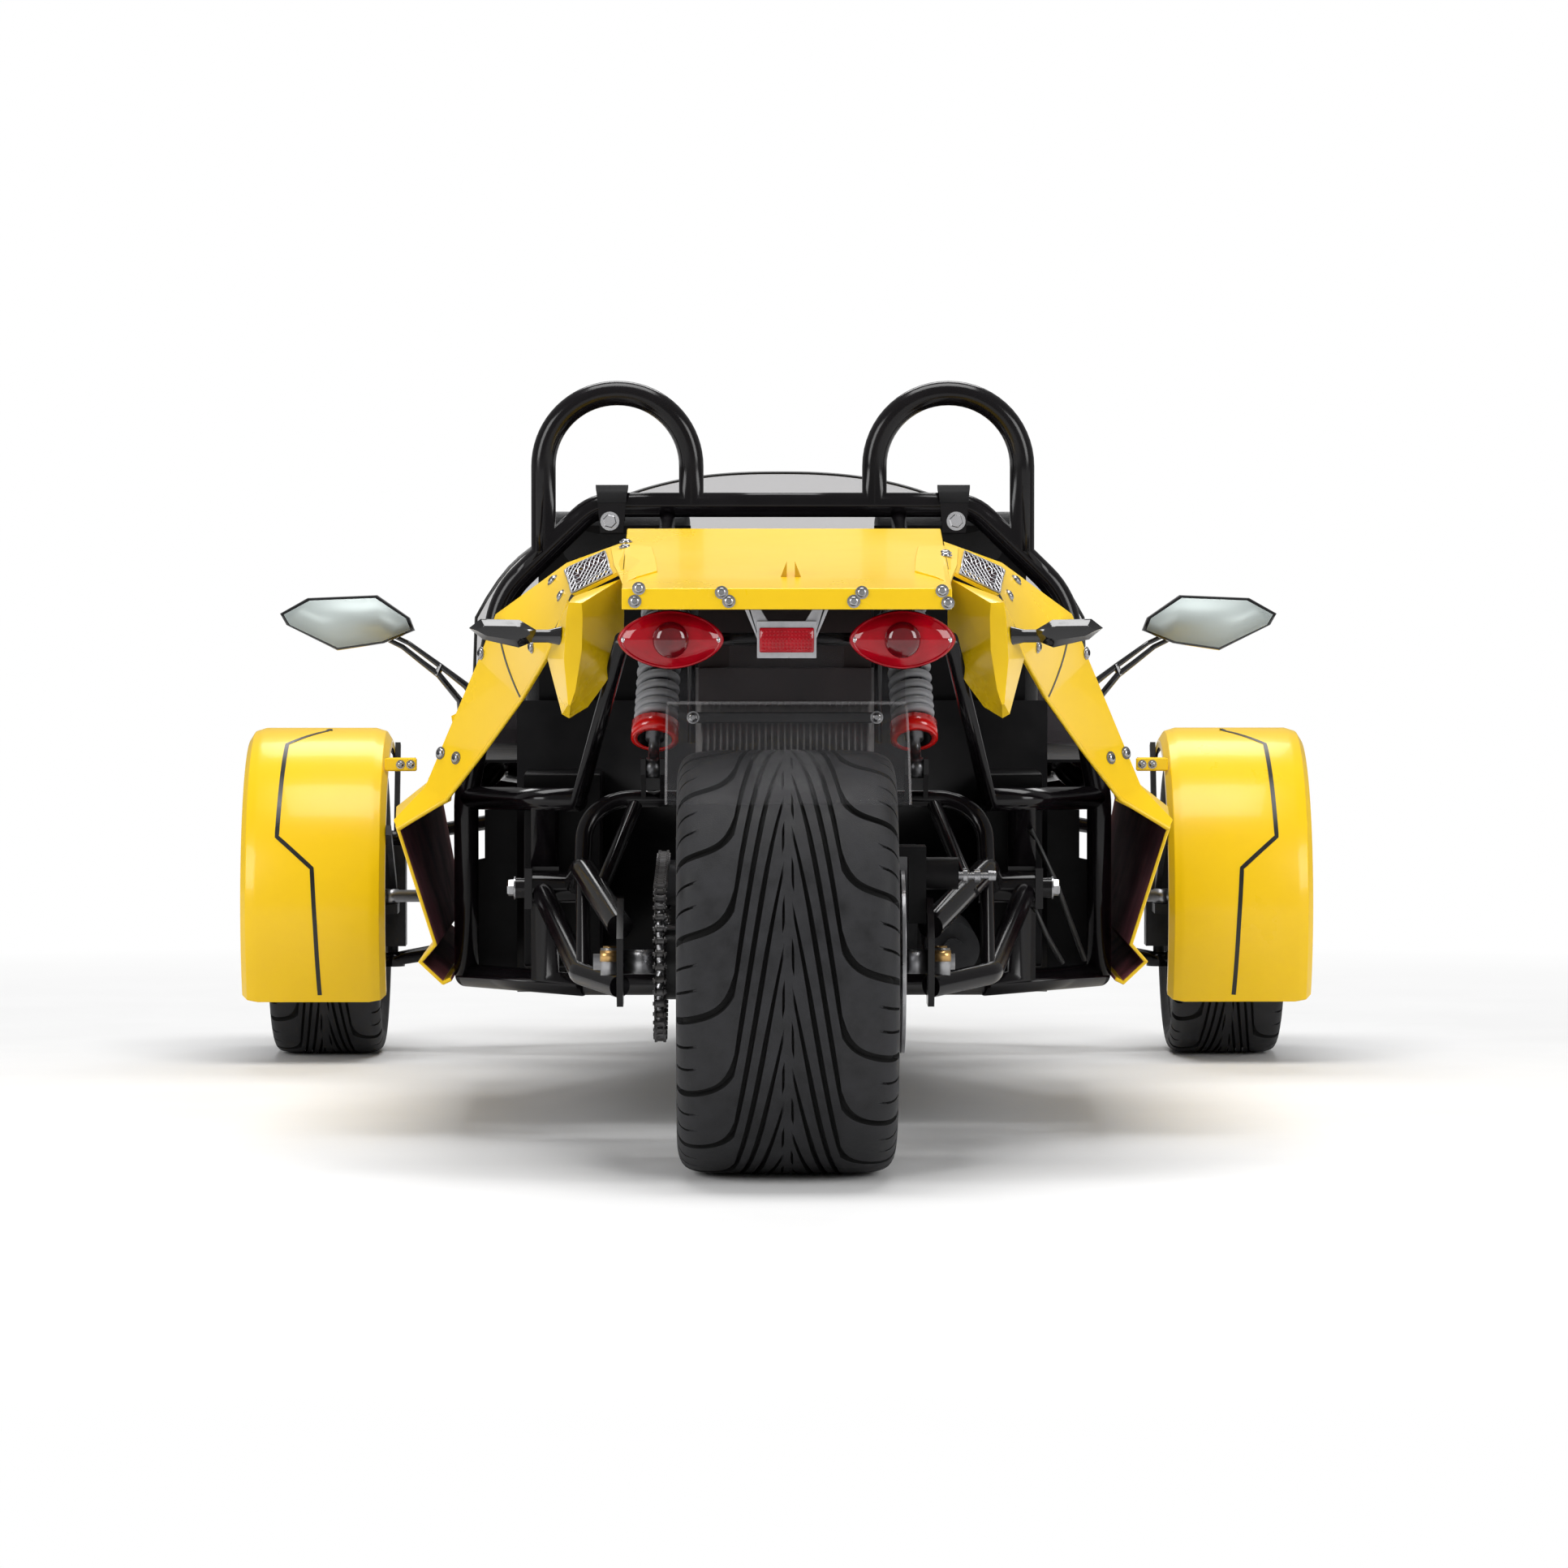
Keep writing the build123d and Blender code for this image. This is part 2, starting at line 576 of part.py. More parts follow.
arms = []
for side in BOTH:
    low_eye = upright(side * KING_X, FRONT_Y, ARM_LOW_Z - 10, ARM_LOW_Z + 10.7, 18)
    high_eye = upright(side * KING_X, FRONT_Y, ARM_HIGH_Z - 10.7, ARM_HIGH_Z + 10, 16)
    low_parts = [low_eye]
    high_parts = [high_eye]
    for end in BOTH:
        low_foot = (side * BULK_X, front(end * 120), RAIL_Z)
        high_foot = (side * BULK_X, front(end * 105), BULK_Z - 30 * (105 * end + 150) / 330)
        low_parts.append(bar((side * KING_X, FRONT_Y, ARM_LOW_Z), low_foot, 10))
        high_parts.append(bar((side * KING_X, FRONT_Y, ARM_HIGH_Z), high_foot, 9))
    leg_t = (KING_X - 430) / (KING_X - BULK_X)
    cross_z = ARM_LOW_Z + (RAIL_Z - ARM_LOW_Z) * leg_t
    low_parts.append(along(side * 430, front(-120 * leg_t), front(120 * leg_t), cross_z, 8))
    for parts in (low_parts, high_parts):
        whole = joined(parts) - upright(side * KING_X, FRONT_Y, 100, 400, PIN_R + 0.1)
        arms.append(cut(whole, lower_rails, upper_rails))
    low = (side * 430, FRONT_Y, cross_z + 8 + EYE_R + GAP)
    high = (side * (BULK_X + RAIL_R + EYE_R + GAP + 22), FRONT_Y, BULK_Z + 6)
    coil, damper, cup = spring_leg(low, high, 27, 11, 10, 14, along_y=True)
    coils.append(cut(coil, damper))
    dampers.append(damper)
    cups.append(cup)
keep("wishbones", *arms)
keep("springs", *coils)
keep("dampers", *dampers)
keep("spring_cups", *cups)
brackets = list(pivots)
for side in BOTH:
    for edge in BOTH:
        plate = block(side * BULK_X, side * (BULK_X + RAIL_R + EYE_R + 32),
                      front(edge * 8.8), front(edge * 14), BULK_Z - 5, BULK_Z + 16)
        brackets.append(cut(plate, upper_rails))

# Steering: rack with tie rods, housing, column and wheel

RACK_R = 9
rack_y = front(-STEER_ARM)
rack = across(-KING_X, KING_X, rack_y, TIE_Z, RACK_R)
for side in BOTH:
    rack = rack + upright(side * KING_X, rack_y, TIE_Z - 10, TIE_Z + 10, 13)
keep("steering_rack", rack)
housing = across(-150, 150, rack_y, TIE_Z, 20)
for side in BOTH:
    housing = housing + block(side * 90, side * 118, front(-150), rack_y, RAIL_Z, TIE_Z + 8)
housing = housing + block(-135, -85, rack_y - 26, rack_y + 22, TIE_Z, TIE_Z + 34)
housing = housing - across(-200, 200, rack_y, TIE_Z, RACK_R + 0.1)
housing = cut(housing, lower_rails)
SEAT_X = 220
WHEEL_AT = (-SEAT_X, rear(1090), 566)
COLUMN_END = (-170, front(-330), 404)
column_line = (Vector(*WHEEL_AT) - Vector(*COLUMN_END)).normalized()
column_top = Vector(*WHEEL_AT) - column_line * 34
PINION = (-110, rack_y - 2, TIE_Z + 28)
column = bar(COLUMN_END, tuple(column_top), 18) + bar(COLUMN_END, PINION, 9)
column_hole = bar(COLUMN_END, PINION, 10)
shaft = bar(tuple(column_top - column_line * 60), WHEEL_AT, 8)
column = column - bar(tuple(column_top - column_line * 62), WHEEL_AT, 8.1)
column = joined([column, housing]) - across(-200, 200, rack_y, TIE_Z, RACK_R + 0.1)
keep("steering_column", column)
wheel_plane = Plane(origin=WHEEL_AT, x_dir=(1, 0, 0), z_dir=column_line)
GRIP_R = 125
grip = wheel_plane * Torus(GRIP_R, 14)
spokes = [wheel_plane * (Rot(0, 0, turn) * (Pos(GRIP_R / 2, 0, -6) * Box(GRIP_R, 26, 6)))
          for turn in (0, 180, 270)]
hub = wheel_plane * (Pos(0, 0, -10) * Cylinder(34, 36))
keep("steering_wheel", joined([grip, hub, shaft] + spokes))

# Tail: deck, quarter panels, fins, lamps

DECK_HALF = 200


def deck_line(y, z):
    return (rear(y), [(-DECK_HALF, z - 14), (-DECK_HALF, z), (DECK_HALF, z), (DECK_HALF, z - 14)])


deck = shell([deck_line(*DECK_REAR), deck_line(*DECK_FRONT)], DECK_WALL)
lip = block(-DECK_HALF, DECK_HALF, rear(DECK_REAR[0] - 4), rear(DECK_REAR[0]),
            DECK_REAR[1] - 26, DECK_REAR[1])
tail_deck = joined([deck, lip])
keep("tail_deck", tail_deck)

# each row: the outer edge, then the inner edge, from the pod's corner up to the deck
QUARTER = [
    ((503, 471, 411), (497, 456, 400)),
    ((462, 470, 454), (434, 440, 438)),
    ((439, 460, 508), (383, 400, 503)),
    ((390, 400, 620), (332, 300, 572)),
    ((367, 360, 678), (297, 180, 629)),
    ((275, 300, 744), (264, 100, 706)),
    ((200.5, 280, 771), (200.5, 80, 738))]
VENT = [(266, 731), (226, 752), (216, 738), (258, 716)]
stations = [tuple(at_rear(side_of(p, -1)) for p in pair) for pair in QUARTER]
quarter = sheet(stations, PANEL_WALL)
hole = slab_y([(-x, z) for x, z in VENT], rear(0), rear(400))
mesh_stations = [tuple(Vector(*p) + Vector(1.2, 0.6, -2) for p in pair) for pair in stations[4:]]
mesh = sheet([(tuple(a), tuple(b)) for a, b in mesh_stations], 1.5)
vent_x = sum(x for x, z in VENT) / len(VENT)
vent_z = sum(z for x, z in VENT) / len(VENT)
within = [(-vent_x - (x - vent_x) * 0.97, vent_z + (z - vent_z) * 0.97) for x, z in VENT]
inner_hole = slab_y(within, rear(0), rear(400))
mesh = mesh & inner_hole
quarter = cut(quarter, hole, tail_deck)
mesh = cut(mesh, quarter)
keep("quarter_panels", quarter, mirrored(quarter))
keep("mesh_vents", mesh, mirrored(mesh))

FIN_BASE = [(262, 704), (201, 727), (199, 683), (200, 633), (222, 598),
            (244, 568), (267, 554), (276, 559), (294, 628), (274, 685)]
FIN_RIDGE = [(266, 698), (250, 697), (249, 680), (250, 640), (254, 615),
             (258, 590), (264, 572), (267, 573), (272, 628), (269, 682)]
fin = solid_through([(rear(84), FIN_BASE), (rear(22), FIN_RIDGE)])
fins = []
for part in (mirrored(fin), fin):
    fins.append(cut(part, rear_frame, quarter, mirrored(quarter), tail_deck))
keep("tail_fins", *fins)

LAMP_X = 141
LAMP_HALF = 65
LAMP_HIGH = 36
LAMP_DEEP = 20
LENS_DEEP = 12
LENS_RIM = 2
BULB_R = 24
lamp_y = rear(TAIL_Y - 8 - GAP)


def cat_eye(half_wide, half_high, tip_r):
    """Two arcs that meet in rounded tips."""
    arc_r = (half_wide ** 2 + half_high ** 2) / (2 * half_high)
    drop = arc_r - half_high
    eye = (Pos(0, drop) * Circle(arc_r)) & (Pos(0, -drop) * Circle(arc_r))
    return fillet(eye.vertices(), tip_r)


lamp_bodies = []
lamp_lenses = []
for side in BOTH:
    face = Plane(origin=(side * LAMP_X, lamp_y, TAIL_Z), x_dir=(1, 0, 0), z_dir=(0, -1, 0))
    lamp_bodies.append(extrude(face * cat_eye(LAMP_HALF, LAMP_HIGH, 8), amount=LAMP_DEEP))
    lens_at = face.offset(LAMP_DEEP)
    dome = loft([lens_at * cat_eye(LAMP_HALF - LENS_RIM, LAMP_HIGH - LENS_RIM, 7),
                 lens_at.offset(LENS_DEEP) * cat_eye(LAMP_HALF - 13, LAMP_HIGH - 11, 5)])
    bulge = Pos(side * LAMP_X, lamp_y - LAMP_DEEP - 4, TAIL_Z) * Sphere(BULB_R)
    bulge = bulge & extrude(lens_at.offset(2) * Circle(BULB_R + 1), amount=2 * BULB_R)
    lamp_lenses.append(dome + bulge)
keep("tail_lamp_bodies", *lamp_bodies)
plate_y = lamp_y - 26
plate_top = under_deck(plate_y - REAR_Y, 0) - 0.5
PLATE_HOLE = (44.5, 697)
half_vee = [(62, plate_top), (46, plate_top), (18, 668)]
vee_line = half_vee + [(-x, z) for x, z in half_vee[::-1]] + [(-30, 640), (30, 640)]
vee = slab_y(vee_line, plate_y, plate_y + 3)
for side in BOTH:
    vee = vee - along(side * PLATE_HOLE[0], plate_y - 5, plate_y + 8, PLATE_HOLE[1], 3.2)
keep("plate_bracket", vee, block(-36, 36, plate_y - GAP - 16, plate_y - GAP, 631, 676))
reflector = block(-33, 33, plate_y - 2 * GAP - 20, plate_y - 2 * GAP - 16, 638, 668)
keep("red_lenses", reflector, *lamp_lenses)

# Turn signals: darts on a rubber stalk that flares where it meets the fin
SIGNAL_Y = 52
SIGNAL_Z = 656
STALK_R = 8
DART = [(389, 666), (375, 677), (327, 676), (307, 664), (305, 657), (313, 648), (328, 642), (372, 652)]
DART_MID = (346, 661)
face_line = [(DART_MID[0] + (x - DART_MID[0]) * 0.8, DART_MID[1] + (z - DART_MID[1]) * 0.5) for x, z in DART]
dart = solid_through([(rear(SIGNAL_Y - 16), face_line), (rear(SIGNAL_Y - 5), DART),
                      (rear(SIGNAL_Y + 5), DART), (rear(SIGNAL_Y + 16), face_line)])
flare = Pos(284, rear(SIGNAL_Y), SIGNAL_Z) * (Rot(0, 90, 0) * Cone(STALK_R + 4, STALK_R, 16))
signal = dart + across(276, 316, rear(SIGNAL_Y), SIGNAL_Z, STALK_R) + flare
signals = []
for part in (mirrored(signal), signal):
    signals.append(cut(part, *fins))
keep("turn_signals", *signals)

# Clear guard over the rear tyre and the finned cooler ahead of it

GUARD_R = 315
GUARD_T = 3
GUARD_HALF = 145
guard_section = [(-GUARD_HALF, GUARD_R), (GUARD_HALF, GUARD_R),
                 (GUARD_HALF, GUARD_R + GUARD_T), (-GUARD_HALF, GUARD_R + GUARD_T)]
arc = revolve(make_face(Polyline(*guard_section, close=True)), Axis.X, 50)
guard = Pos(0, REAR_Y, REAR_R) * (Rot(90, 0, 0) * arc)
guard_z = REAR_R + GUARD_R
stand = [(GUARD_HALF, guard_z), (GUARD_HALF, guard_z + 40), (70, guard_z + 46), (70, TAIL_Z + 8),
         (-70, TAIL_Z + 8), (-70, guard_z + 46), (-GUARD_HALF, guard_z + 40), (-GUARD_HALF, guard_z)]
guard = guard + slab_y(stand, rear(TAIL_Y - 8 - GAP - GUARD_T), rear(TAIL_Y - 8 - GAP))
keep("clear_guard", guard)
core_y = rear(COOL_Y)
cooler = block(-COOL_HALF, COOL_HALF, core_y, core_y + COOL_T, COOL_LOW, COOL_HIGH)
FIN_STEP = 8
SPLIT_Z = 555
for z0, z1 in ((COOL_LOW + 2, SPLIT_Z - 10), (SPLIT_Z + 10, COOL_HIGH - 2)):
    comb = []
    for number in range(27):
        x = (number - 13) * FIN_STEP
        comb += [(x - 1.2, core_y + 1), (x - 1.2, core_y - 9)]
        comb += [(x + 1.2, core_y - 9), (x + 1.2, core_y + 1)]
    face = make_face(Polyline(*[(x, y, z0) for x, y in comb], (COOL_HALF, core_y + 1, z0),
                              (COOL_HALF, core_y + 5, z0), (-COOL_HALF, core_y + 5, z0),
                              (-COOL_HALF, core_y + 1, z0), close=True))
    cooler = cooler + extrude(face, amount=z1 - z0, dir=(0, 0, 1))
keep("cooler", cooler)

caliper_x0 = REAR_HUB[1] - 11
caliper = block(caliper_x0, PLATE_X[1] - GAP, rear(28), rear(88), 304, 398)
caliper = caliper - block(REAR_HUB[1] - 6, REAR_HUB[1] + DISC_T + 6, rear(20), rear(95), 290, 386)
caliper = caliper + across(PLATE_X[1] - GAP, PLATE_X[1] + 40, rear(60), 364, 20)
keep("rear_caliper", cut(caliper, swing_arm))

# Cockpit: tub, firewall, boxes, seats, console

TUB_HALF = 345
TUB_TOP = 482
TUB_WALL = 4
FLOOR_TOP = FLOOR_Z + TUB_WALL


def tub_line(y, half, top):
    return (y, [(-half, top), (-half, FLOOR_TOP), (half, FLOOR_TOP), (half, top)])


tub = shell([tub_line(rear(652), TUB_HALF, TUB_TOP), tub_line(rear(1180), TUB_HALF, TUB_TOP),
             tub_line(front(-560), 306, TUB_TOP), tub_line(front(-168), 166, 362)], TUB_WALL)
tub = tub + block(-168, 168, front(-172), front(-168), FLOOR_TOP - 2, 362)
firewall = block(-TUB_HALF - TUB_WALL, TUB_HALF + TUB_WALL, rear(648), rear(652.5), FLOOR_Z, 560)
tub = cut(joined([tub, firewall]), lower_rails, column, column_hole)
keep("tub", tub)
left_box = block(-336, -236, rear(505), rear(647.7), 218, 470)
right_box = block(262, 336, rear(505), rear(647.7), 218, 470)
keep("side_boxes", left_box, right_box)
coamings = []
for side in BOTH:
    coamings.append(block(side * (TUB_HALF + TUB_WALL + GAP), side * 426.4, rear(652), front(-562), 478, 482))

seat_z = RAIL_Z + RAIL_R - 2 + GAP
BACK = [(735, seat_z), (1135, seat_z), (1135, 296), (1090, 312),
        (815, 262), (672, 786), (645, 804), (614, 794)]
BOLSTER = [(740, seat_z), (1120, seat_z), (1120, 318), (1060, 336),
           (870, 300), (715, 700), (690, 720), (630, 700)]
seats = []
for side in BOTH:
    seat = slab_x([(rear(y), z) for y, z in BACK], side * SEAT_X - 100, side * SEAT_X + 100)
    for edge in (-114, 78):
        bolster_x = side * SEAT_X + edge
        seat = seat + slab_x([(rear(y), z) for y, z in BOLSTER], bolster_x, bolster_x + 36)
    seats.append(seat)
keep("seats", *seats)
console = block(-80, 80, rear(690), rear(1290), FLOOR_TOP + GAP, 290)
console = cut(console, lower_rails)
lever = bent([(0, rear(1010), 290), (0, rear(1010), 360), (0, rear(985), 430)], 6, [20])
lever = lever + Pos(0, rear(985), 438) * Sphere(19)
brake = bent([(48, rear(850), 290), (48, rear(850), 312), (48, rear(985), 352)], 8, [12])
pedals = []
for x in (-150, -100, -50):
    foot = block(x - 6, x + 6, front(-345), front(-333), FLOOR_TOP + GAP, 330)
    pad = block(x - 20, x + 20, front(-353), front(-345), 290, 340)
    pedals.append(foot + pad)
keep("controls", lever, brake, *pedals)

# Side pods, bonnet, screen, lights ahead


def pod_line(y, rim_z, out_x, out_z, low_x, low_z):
    sill_x = HOOP_X + RAIL_R + GAP
    return (y, [(430, rim_z), (out_x, out_z), (low_x, low_z), (low_x + 20, 227),
                (low_x - 12, RAIL_Z - 8), (sill_x, RAIL_Z - 2)])


pod = shell([pod_line(rear(472), 440, 501, 404, 452, 250), pod_line(rear(640), 482, 508, 420, 452, 250),
             pod_line(front(-562), 482, 484, 430, 450, 250)], PANEL_WALL)
keep("side_pods", mirrored(pod), pod)

# columns: place ahead of the front axle, then half widths and heights at lower edge, shoulder and top
BONNET = [
    (NOSE_Y - FRONT_Y, 70, 268, 84, 290, 50, 302),
    (320, 175, 252, 195, 325, 105, 360),
    (150, 205, 402, 222, 428, 120, 464),
    (-60, 215, 432, 232, 466, 140, 507),
    (COWL["near"][0], 330, 400, 350, 490, 190, COWL["near"][1]),
    (COWL["far"][0], 440, 400, 462, 520, 260, COWL["far"][1])]
bonnet_lines = []
bonnet_blocks = []
for y, low_x, low_z, out_x, out_z, top_x, crown_z in BONNET:
    half = [(low_x, low_z), (out_x, out_z), (top_x, crown_z)]
    line = [(-x, z) for x, z in half] + half[::-1]
    bonnet_lines.append((front(y), line))
    grown = [(-x - GAP, z + GAP) for x, z in half] + [(x + GAP, z + GAP) for x, z in half[::-1]]
    bonnet_blocks.append((front(y) - GAP, grown))
bonnet = shell(bonnet_lines, PANEL_WALL)
keep("bonnet", bonnet)
bonnet_block = solid_through(bonnet_blocks)


def screen_loop(half, y_end, y_mid, z, wall):
    rise = y_mid - y_end
    radius = (half ** 2 + rise ** 2) / (2 * rise)
    middle = y_mid - radius
    inner = (radius - wall) / radius
    in_half = half * inner
    in_end = middle + (y_end - middle) * inner
    outer_arc = ThreePointArc((-half, y_end, z), (0, y_mid, z), (half, y_end, z))
    inner_arc = ThreePointArc((in_half, in_end, z), (0, y_mid - wall, z), (-in_half, in_end, z))
    return Wire([outer_arc, Line((half, y_end, z), (in_half, in_end, z)), inner_arc,
                 Line((-in_half, in_end, z), (-half, y_end, z))])


SCREEN_Z = 482 + GAP
screen = Solid.make_loft([screen_loop(428, rear(1130), rear(1400), SCREEN_Z, 4),
                          screen_loop(340, rear(1010), rear(1200), 880, 4)], ruled=True)
arch = make_face(ThreePointArc((-500, rear(900), 560), (0, rear(900), 862), (500, rear(900), 560))
                 + Polyline((500, rear(900), 560), (500, rear(900), 470), (-500, rear(900), 470),
                            (-500, rear(900), 560)))
screen = screen & extrude(arch, amount=700, dir=(0, 1, 0))
keep("windscreen", cut(screen, bonnet_block))
DASH = [(1205, 500), (1196, 560), (1240, 584), (1298, 584), (1298, 500)]
dash = slab_x([(rear(y), z) for y, z in DASH], -195, 195)
dash = dash + block(-300, 300, rear(1200), rear(1226), 502, 576)
keep("cockpit_trim", cut(dash, column, upper_rails), console, *coamings)
valance = solid_through([
    (front(250.3), [(-186, 192), (-186, 244), (186, 244), (186, 192)]),
    (front(330), [(-166, 196), (-166, 246), (166, 246), (166, 196)]),
    (front(425), [(-70, 222), (-70, 256), (70, 256), (70, 222)])])
keep("front_valance", valance)
lamp_shells = []
lamp_glass = []
for side in BOTH:
    x = side * 285
    can = along(x, front(190), front(262), 398, 54) + along(x, front(170), front(190), 398, 38)
    can = can + bar((side * BULK_X, front(130), BULK_Z - 25), (side * 262, front(190), 388), 9)
    lamp_shells.append(cut(can, upper_rails))
    lamp_glass.append(along(x, front(262 + GAP), front(268), 398, 50))
keep("headlamps", *lamp_shells)
keep("headlamp_lenses", *lamp_glass)

# Mirrors on forked stems
MIRROR = [(513, 640), (520, 658), (566, 690), (664, 686),
          (703, 664), (694, 648), (622, 612), (556, 622)]
heads = []
glass = []
for side in BOTH:
    line = [(side * x, z) for x, z in MIRROR]
    head_part = slab_y(line, rear(1292), rear(1330))
    small = [(side * (608 + (x - 608) * 0.94), 651 + (z - 651) * 0.9) for x, z in MIRROR]
    stem_line = [(590, 648), (530, 606), (452, 500)]
    stem = bent([(side * x, rear(1318), z) for x, z in stem_line], 9, [30])
    head_part = cut(head_part + stem, bonnet_block)
    heads.append(head_part - slab_y(small, rear(1292), rear(1295)))
    glass.append(slab_y(small, rear(1292), rear(1295 - GAP)))
keep("mirrors", *heads)
keep("mirror_glass", *glass)

# Harness anchors on the bar and cables behind the right post
for side in BOTH:
    x = side * 222
    loop_x = [(x - 17, ROLL_TUBE_R + 0.2), (x + 17, ROLL_TUBE_R + 0.2),
              (x + 17, ROLL_TUBE_R + 5), (x - 17, ROLL_TUBE_R + 5)]
    strap_loop = ring_x(loop_x, 0, rear(HOOP_Y), ROLL_BAR_Z)
    plate_line = [(x - 19, ROLL_BAR_Z + 12), (x + 19, ROLL_BAR_Z + 12), (x + 15, ROLL_BAR_Z - 36),
                  (x - 15, ROLL_BAR_Z - 36)]
    plate = slab_y(plate_line, rear(HOOP_Y - ROLL_TUBE_R - 6), rear(HOOP_Y - ROLL_TUBE_R))
    brackets.append(cut(joined([strap_loop, plate]), roll_hoops, rear_frame))
keep("brackets", *brackets)
cables = []
for start, middle, end in (((318, 447, 400), (352, 470, 330), (392, 520, 226)),
                           ((322, 447, 300), (340, 470, 262), (362, 500, 224))):
    line = bent([at_rear(start), at_rear(middle), at_rear(end)], 3.5, [20])
    cables.append(cut(line, rear_frame, *pivots))
keep("brake_cables", *cables)

os.makedirs("parts", exist_ok=True)
for name, solids in nodes.items():
    export_step(Compound(solids), f"parts/{name}.step")
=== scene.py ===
import json
from math import asin, atan2, copysign, cos, exp, pi, radians, sin, sqrt

import bpy
from mathutils import Euler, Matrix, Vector
from mathutils.bvhtree import BVHTree


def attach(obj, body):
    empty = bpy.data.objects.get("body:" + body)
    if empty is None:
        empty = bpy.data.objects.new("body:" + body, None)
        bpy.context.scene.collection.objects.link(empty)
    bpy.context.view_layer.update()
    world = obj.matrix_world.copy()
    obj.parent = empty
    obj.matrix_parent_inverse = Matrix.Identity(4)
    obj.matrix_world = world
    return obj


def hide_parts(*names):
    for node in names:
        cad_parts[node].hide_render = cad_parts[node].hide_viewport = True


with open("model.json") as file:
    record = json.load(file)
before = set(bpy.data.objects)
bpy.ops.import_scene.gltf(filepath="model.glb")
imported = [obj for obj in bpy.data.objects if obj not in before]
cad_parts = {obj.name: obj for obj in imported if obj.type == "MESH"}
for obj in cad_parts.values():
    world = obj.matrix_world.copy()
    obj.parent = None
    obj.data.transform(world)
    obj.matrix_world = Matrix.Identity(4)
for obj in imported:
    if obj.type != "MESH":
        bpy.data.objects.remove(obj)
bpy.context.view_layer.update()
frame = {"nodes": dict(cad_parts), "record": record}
NODES = frame["nodes"]
scene = bpy.context.scene
scene.view_settings.view_transform = "Standard"

# Places shared with the solids, in metres
REAR_Y = -1.016
FRONT_Y = 0.834
REAR_R = 0.259
FRONT_R = 0.227
RIM_R = 0.178
WHEEL_X = 0.665
HOOP_Y = REAR_Y + 0.55
BOTH = (-1, 1)
SIDES = ((-1, "left"), (1, "right"))

# Camera at the photograph's viewing angle
IMAGE = 1932
FOCAL_PX = 8383
SENSOR = 36
CAMERA_AT = Vector((-0.0707, -9.316, 0.815))
CAMERA_DOWN = 2.336
CAMERA_ASIDE = -0.4675
CAMERA_TURN = Euler((radians(90 - CAMERA_DOWN), 0, radians(CAMERA_ASIDE)))
camera_data = bpy.data.cameras.new("camera")
camera_data.sensor_width = SENSOR
camera_data.lens = SENSOR * FOCAL_PX / IMAGE
camera = bpy.data.objects.new("camera", camera_data)
camera.location = CAMERA_AT
camera.rotation_euler = CAMERA_TURN
scene.collection.objects.link(camera)
scene.camera = camera


# Materials

FINISHES = {}
CELL_EDGE = 0.12
MIX_FIRST, MIX_SECOND, MIX_RESULT = 6, 7, 2


def connect(tree, start, end):
    tree.links.new(start, end)


def add_node(tree, kind, sockets=None, **values):
    """A node with values on its fields and its own sockets."""
    node = tree.nodes.new(kind)
    for key, value in values.items():
        setattr(node, key, value)
    for key, value in (sockets or {}).items():
        node.inputs[key].default_value = value
    return node


def noise(tree, vector, scale, detail=4, rough=0.55, stretch=None):
    """A noise texture in metres, drawn out along an axis where stretch says so."""
    if stretch:
        mapping = add_node(tree, "ShaderNodeMapping", {"Scale": stretch})
        connect(tree, vector, mapping.inputs["Vector"])
        vector = mapping.outputs["Vector"]
    texture = add_node(tree, "ShaderNodeTexNoise", {"Scale": scale, "Detail": detail, "Roughness": rough})
    connect(tree, vector, texture.inputs["Vector"])
    return texture.outputs["Fac"]


def spread(tree, value, low, high, start=0.3, end=0.7):
    """A value between start and end turned into one between low and high."""
    limits = {"From Min": start, "From Max": end, "To Min": low, "To Max": high}
    node = add_node(tree, "ShaderNodeMapRange", limits)
    connect(tree, value, node.inputs["Value"])
    return node.outputs["Result"]


def blended(tree, factor, first, second):
    """Two colours mixed by a factor."""
    colours = {MIX_FIRST: (*first, 1), MIX_SECOND: (*second, 1)}
    node = add_node(tree, "ShaderNodeMix", colours, data_type="RGBA")
    connect(tree, factor, node.inputs[0])
    return node.outputs[MIX_RESULT]


def finish(name, colour, other, rough, patch, grain, bump, depth,
           metal=0.0, coat=0.0, stretch=None, alpha=1.0, pattern=None, gleam=0.5):
    """A procedural surface: two colours in soft patches, uneven gloss and a fine grain."""
    material = bpy.data.materials.new(name)
    material.use_nodes = True
    tree = material.node_tree
    shader = tree.nodes["Principled BSDF"]
    where = add_node(tree, "ShaderNodeTexCoord").outputs["Object"]
    patches = noise(tree, where, patch, 6, 0.6)
    connect(tree, blended(tree, spread(tree, patches, 0, 1), colour, other), shader.inputs["Base Color"])
    connect(tree, spread(tree, patches, *rough), shader.inputs["Roughness"])
    if pattern == "cells":
        cells = add_node(tree, "ShaderNodeTexVoronoi", {"Scale": grain}, feature="DISTANCE_TO_EDGE")
        connect(tree, where, cells.inputs["Vector"])
        fine = spread(tree, cells.outputs["Distance"], 0, 1, 0.0, CELL_EDGE)
    else:
        fine = noise(tree, where, grain, 3, 0.5, stretch)
    relief = add_node(tree, "ShaderNodeBump", {"Strength": bump, "Distance": depth})
    connect(tree, fine, relief.inputs["Height"])
    connect(tree, relief.outputs["Normal"], shader.inputs["Normal"])
    for socket, value in (("Metallic", metal), ("Coat Weight", coat), ("Coat Roughness", 0.03),
                          ("Alpha", alpha), ("Specular IOR Level", gleam)):
        shader.inputs[socket].default_value = value
    FINISHES[name] = material


